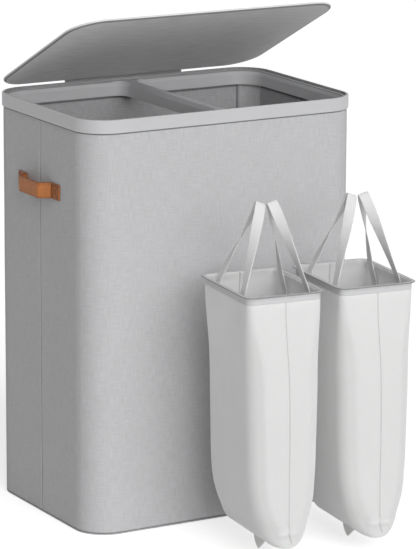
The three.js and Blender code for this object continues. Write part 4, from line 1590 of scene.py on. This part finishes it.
        peel, foot = shape.height - self.peel, shape.height - self.tail
        lift = side.value * (self.tape / 2 + THREAD_LIFT)
        x_high, x_low = self.wall_line(side, peel - 9 * MM) - lift, self.wall_line(side, foot + 2 * MM) - lift
        high, low, half = peel - 1 * MM, foot + 2.2 * MM, self.tape_width / 2 - 2 * MM
        runs = []
        for end in (-1, 1):
            for y, z in (run.T for run in sewn_box((-half, low), (half, high), True, 8)):
                x = np.interp(z, [low, high], [x_low, x_high])
                runs.append(self.stand(np.stack([x, end * self.half_span + y, z], axis=1)))
        out = self.stand(np.array([-float(side.value), 0, 0])) - self.stand(np.zeros(3))
        sewing = stitches(f"{tag}_tail_stitching", runs, out, 2.6 * MM, 0.25 * MM)
        self.wardrobe.dress(sewing, "pale_thread", "webbing", self.name)

    def build_tab(self) -> None:
        """Builds the pull tab: webbing folded to a point, with a crease from the fold up its middle."""
        shape = self.shape
        share = np.linspace(0, 1, 30)
        outline = through(np.array([[0, 0.5], [0.35, 0.38], [0.75, 0.17], [1, 0.03]]))
        half = np.maximum(np.interp(share, *outline.T) * self.tab_length, 1.1 * MM)
        thick = 1.0 * MM * np.sqrt(np.clip(1 - (share - 0.1) ** 6, 0.15, 1))
        plan = Plan.sampled(3, edge_shares(2), edge_shares(30))
        off, y = np.moveaxis(plan.at(thick, half, np.minimum(0.8 * MM, thick)), -1, 0)
        share = share[:, None]
        off = off - np.sign(off) * 0.5 * MM * bell(y, 1.4 * MM) * share
        z = np.broadcast_to((shape.seam - shape.gap) * (1 - share), y.shape)
        turn = self.tab_turn * share
        x = shape.shift[0] + shape.foot_shift - self.tab_lean * share + off * np.cos(turn) - y * np.sin(turn)
        points = np.stack([x, off * np.sin(turn) + y * np.cos(turn) + self.tab_back, z], axis=-1)[::-1]
        flat = closed(np.stack([z, y], axis=-1)[::-1], 1)
        tab = mesh_piece(f"{self.name}_pull_tab_tape", self.stand(points), flat)
        self.wardrobe.dress(tab, "tab_tape", "webbing", self.name, f"{self.name}_pull_tab")

    def build(self) -> None:
        """Builds the rim, the bag, both loops and the tab."""
        self.build_rim()
        self.build_bag()
        for side in Side:
            self.build_loop(side)
        self.build_tab()


@dataclass
class Studio:
    """Plain pale floor, soft lamps, and a camera at the photograph's angle."""

    azimuth: float = radians(-29.91)
    elevation: float = radians(13.12)
    roll: float = radians(0.26)
    distance: float = 5.799
    target: tuple[float, float, float] = (0.0368, -0.0508, 0.3918)
    lens: float = 222.8
    sensor: float = 36.0
    floor_colour: Colour = (0.8, 0.8, 0.8)
    floor_half: float = 60.0
    floor_glow: float = 0.58
    sky: tuple[float, float] = (0.36, 1.0)

    def direction(self, azimuth: float, elevation: float) -> Array:
        """Unit vector from the object towards an azimuth and elevation, azimuth 0 being the front."""
        return np.array([sin(azimuth) * cos(elevation), -cos(azimuth) * cos(elevation), sin(elevation)])

    def facing(self, place: Array, target: Array, roll: float = 0.0) -> Matrix:
        """Matrix of something that looks at a target.

        Args:
            place: Where it stands.
            target: The point that it looks at.
            roll: Turn about its line of sight, in radians.

        Returns:
            The matrix.
        """
        back = (place - target) / np.linalg.norm(place - target)
        right = np.cross(-back, [0, 0, 1])
        right /= np.linalg.norm(right)
        up = np.cross(right, -back)
        right, up = right * cos(roll) + up * sin(roll), up * cos(roll) - right * sin(roll)
        matrix = np.eye(4)
        matrix[:3] = np.column_stack([right, up, back, place])
        return Matrix(matrix.tolist())

    def build_camera(self) -> None:
        """Places the camera."""
        data = bpy.data.cameras.new("view")
        data.lens, data.sensor_width, data.clip_end = self.lens, self.sensor, 100
        camera, target = linked("view", data), np.array(self.target)
        place = target + self.distance * self.direction(self.azimuth, self.elevation)
        camera.matrix_world = self.facing(place, target, self.roll)
        bpy.context.scene.camera = camera

    def build_lamp(self, name: str, azimuth: float, elevation: float, spread: float, level: float) -> None:
        """Places a wide, far softbox that lights a white sheet facing it to a level.

        Args:
            name: Name of the lamp.
            azimuth: Where it stands, in degrees, 0 being the front.
            elevation: How high it stands, in degrees.
            spread: Angle that it fills, in degrees.
            level: How bright a white sheet turned to it becomes, 1 being white.
        """
        data = bpy.data.lights.new(name, "SUN")
        data.angle, data.energy = radians(spread), pi * level
        place = 3 * self.direction(radians(azimuth), radians(elevation))
        linked(name, data).matrix_world = self.facing(place, np.zeros(3))

    def clear_rays(self, nodes: Nodes) -> Socket:
        """1 for rays from the camera, off glossy things and through clear ones, and 0 for all others."""
        rays = nodes.add("LightPath").outputs
        seen = nodes.maths("MAXIMUM", rays["Is Camera Ray"], rays["Is Glossy Ray"])
        return nodes.maths("MAXIMUM", seen, rays["Is Transmission Ray"])

    def build_floor(self) -> None:
        """Builds the floor, which the camera and clear reflections see as near white."""
        half, mesh = self.floor_half, bpy.data.meshes.new("floor")
        corners = [(-half, -half, 0), (half, -half, 0), (half, half, 0), (-half, half, 0)]
        mesh.from_pydata(corners, [], [(0, 1, 2, 3)])
        floor, material = linked("floor", mesh), bpy.data.materials.new("floor")
        material.use_nodes = True
        material.node_tree.nodes.clear()
        nodes = Nodes(material.node_tree)
        level = nodes.maths("MULTIPLY", self.clear_rays(nodes), self.floor_glow)
        glow = nodes.add("Emission", {"Strength": level})
        diffuse = nodes.add("BsdfDiffuse", {"Color": (*self.floor_colour, 1)})
        both = nodes.add("AddShader", {0: diffuse.outputs[0], 1: glow.outputs[0]})
        nodes.add("OutputMaterial", {0: both.outputs[0]})
        mesh.materials.append(material)

    def build_world(self) -> None:
        """Sets a dim even sky, white where the camera or a reflection sees it."""
        world = bpy.data.worlds.new("studio")
        world.use_nodes = True
        world.node_tree.nodes.clear()
        nodes = Nodes(world.node_tree)
        dim, bright = self.sky
        level = nodes.add("MapRange", {"Value": self.clear_rays(nodes), "To Min": dim, "To Max": bright})
        sky = nodes.add("Background", {"Strength": level.outputs[0]})
        nodes.add("OutputWorld", {0: sky.outputs[0]})
        bpy.context.scene.world = world

    def build(self) -> None:
        """Builds the whole studio and sets the plain view transform."""
        self.build_camera()
        self.build_floor()
        self.build_world()
        self.build_lamp("low", -12, 9, 50, 0.42)
        self.build_lamp("high", 0, 34, 50, 0.44)
        bpy.context.scene.view_settings.view_transform = "Standard"


def main() -> None:
    """Builds the studio and every sub-assembly in order."""
    logging.basicConfig(level=logging.INFO, format="%(name)s %(message)s")
    Studio().build()
    wardrobe = Wardrobe()
    shell = Shell()
    Boards(shell, wardrobe).build()
    Cover(shell, wardrobe).build()
    rim = smoothed_copy("rim_frame", "rim_moulding", 0.5 * MM)
    wardrobe.dress(rim, "rim_plastic_lined", "rim_plastic", "hamper", "rim_frame")
    Lid(shell, wardrobe).build()
    for side in Side:
        Handle(shell, wardrobe, side).build()
    Liner("left_liner", wardrobe, -44.1 * MM, -367.1 * MM, LinerShape(seam=29.2 * MM)).build()
    Liner("right_liner", wardrobe, 120.3 * MM, -381.4 * MM).build()


if __name__ == "__main__":
    main()
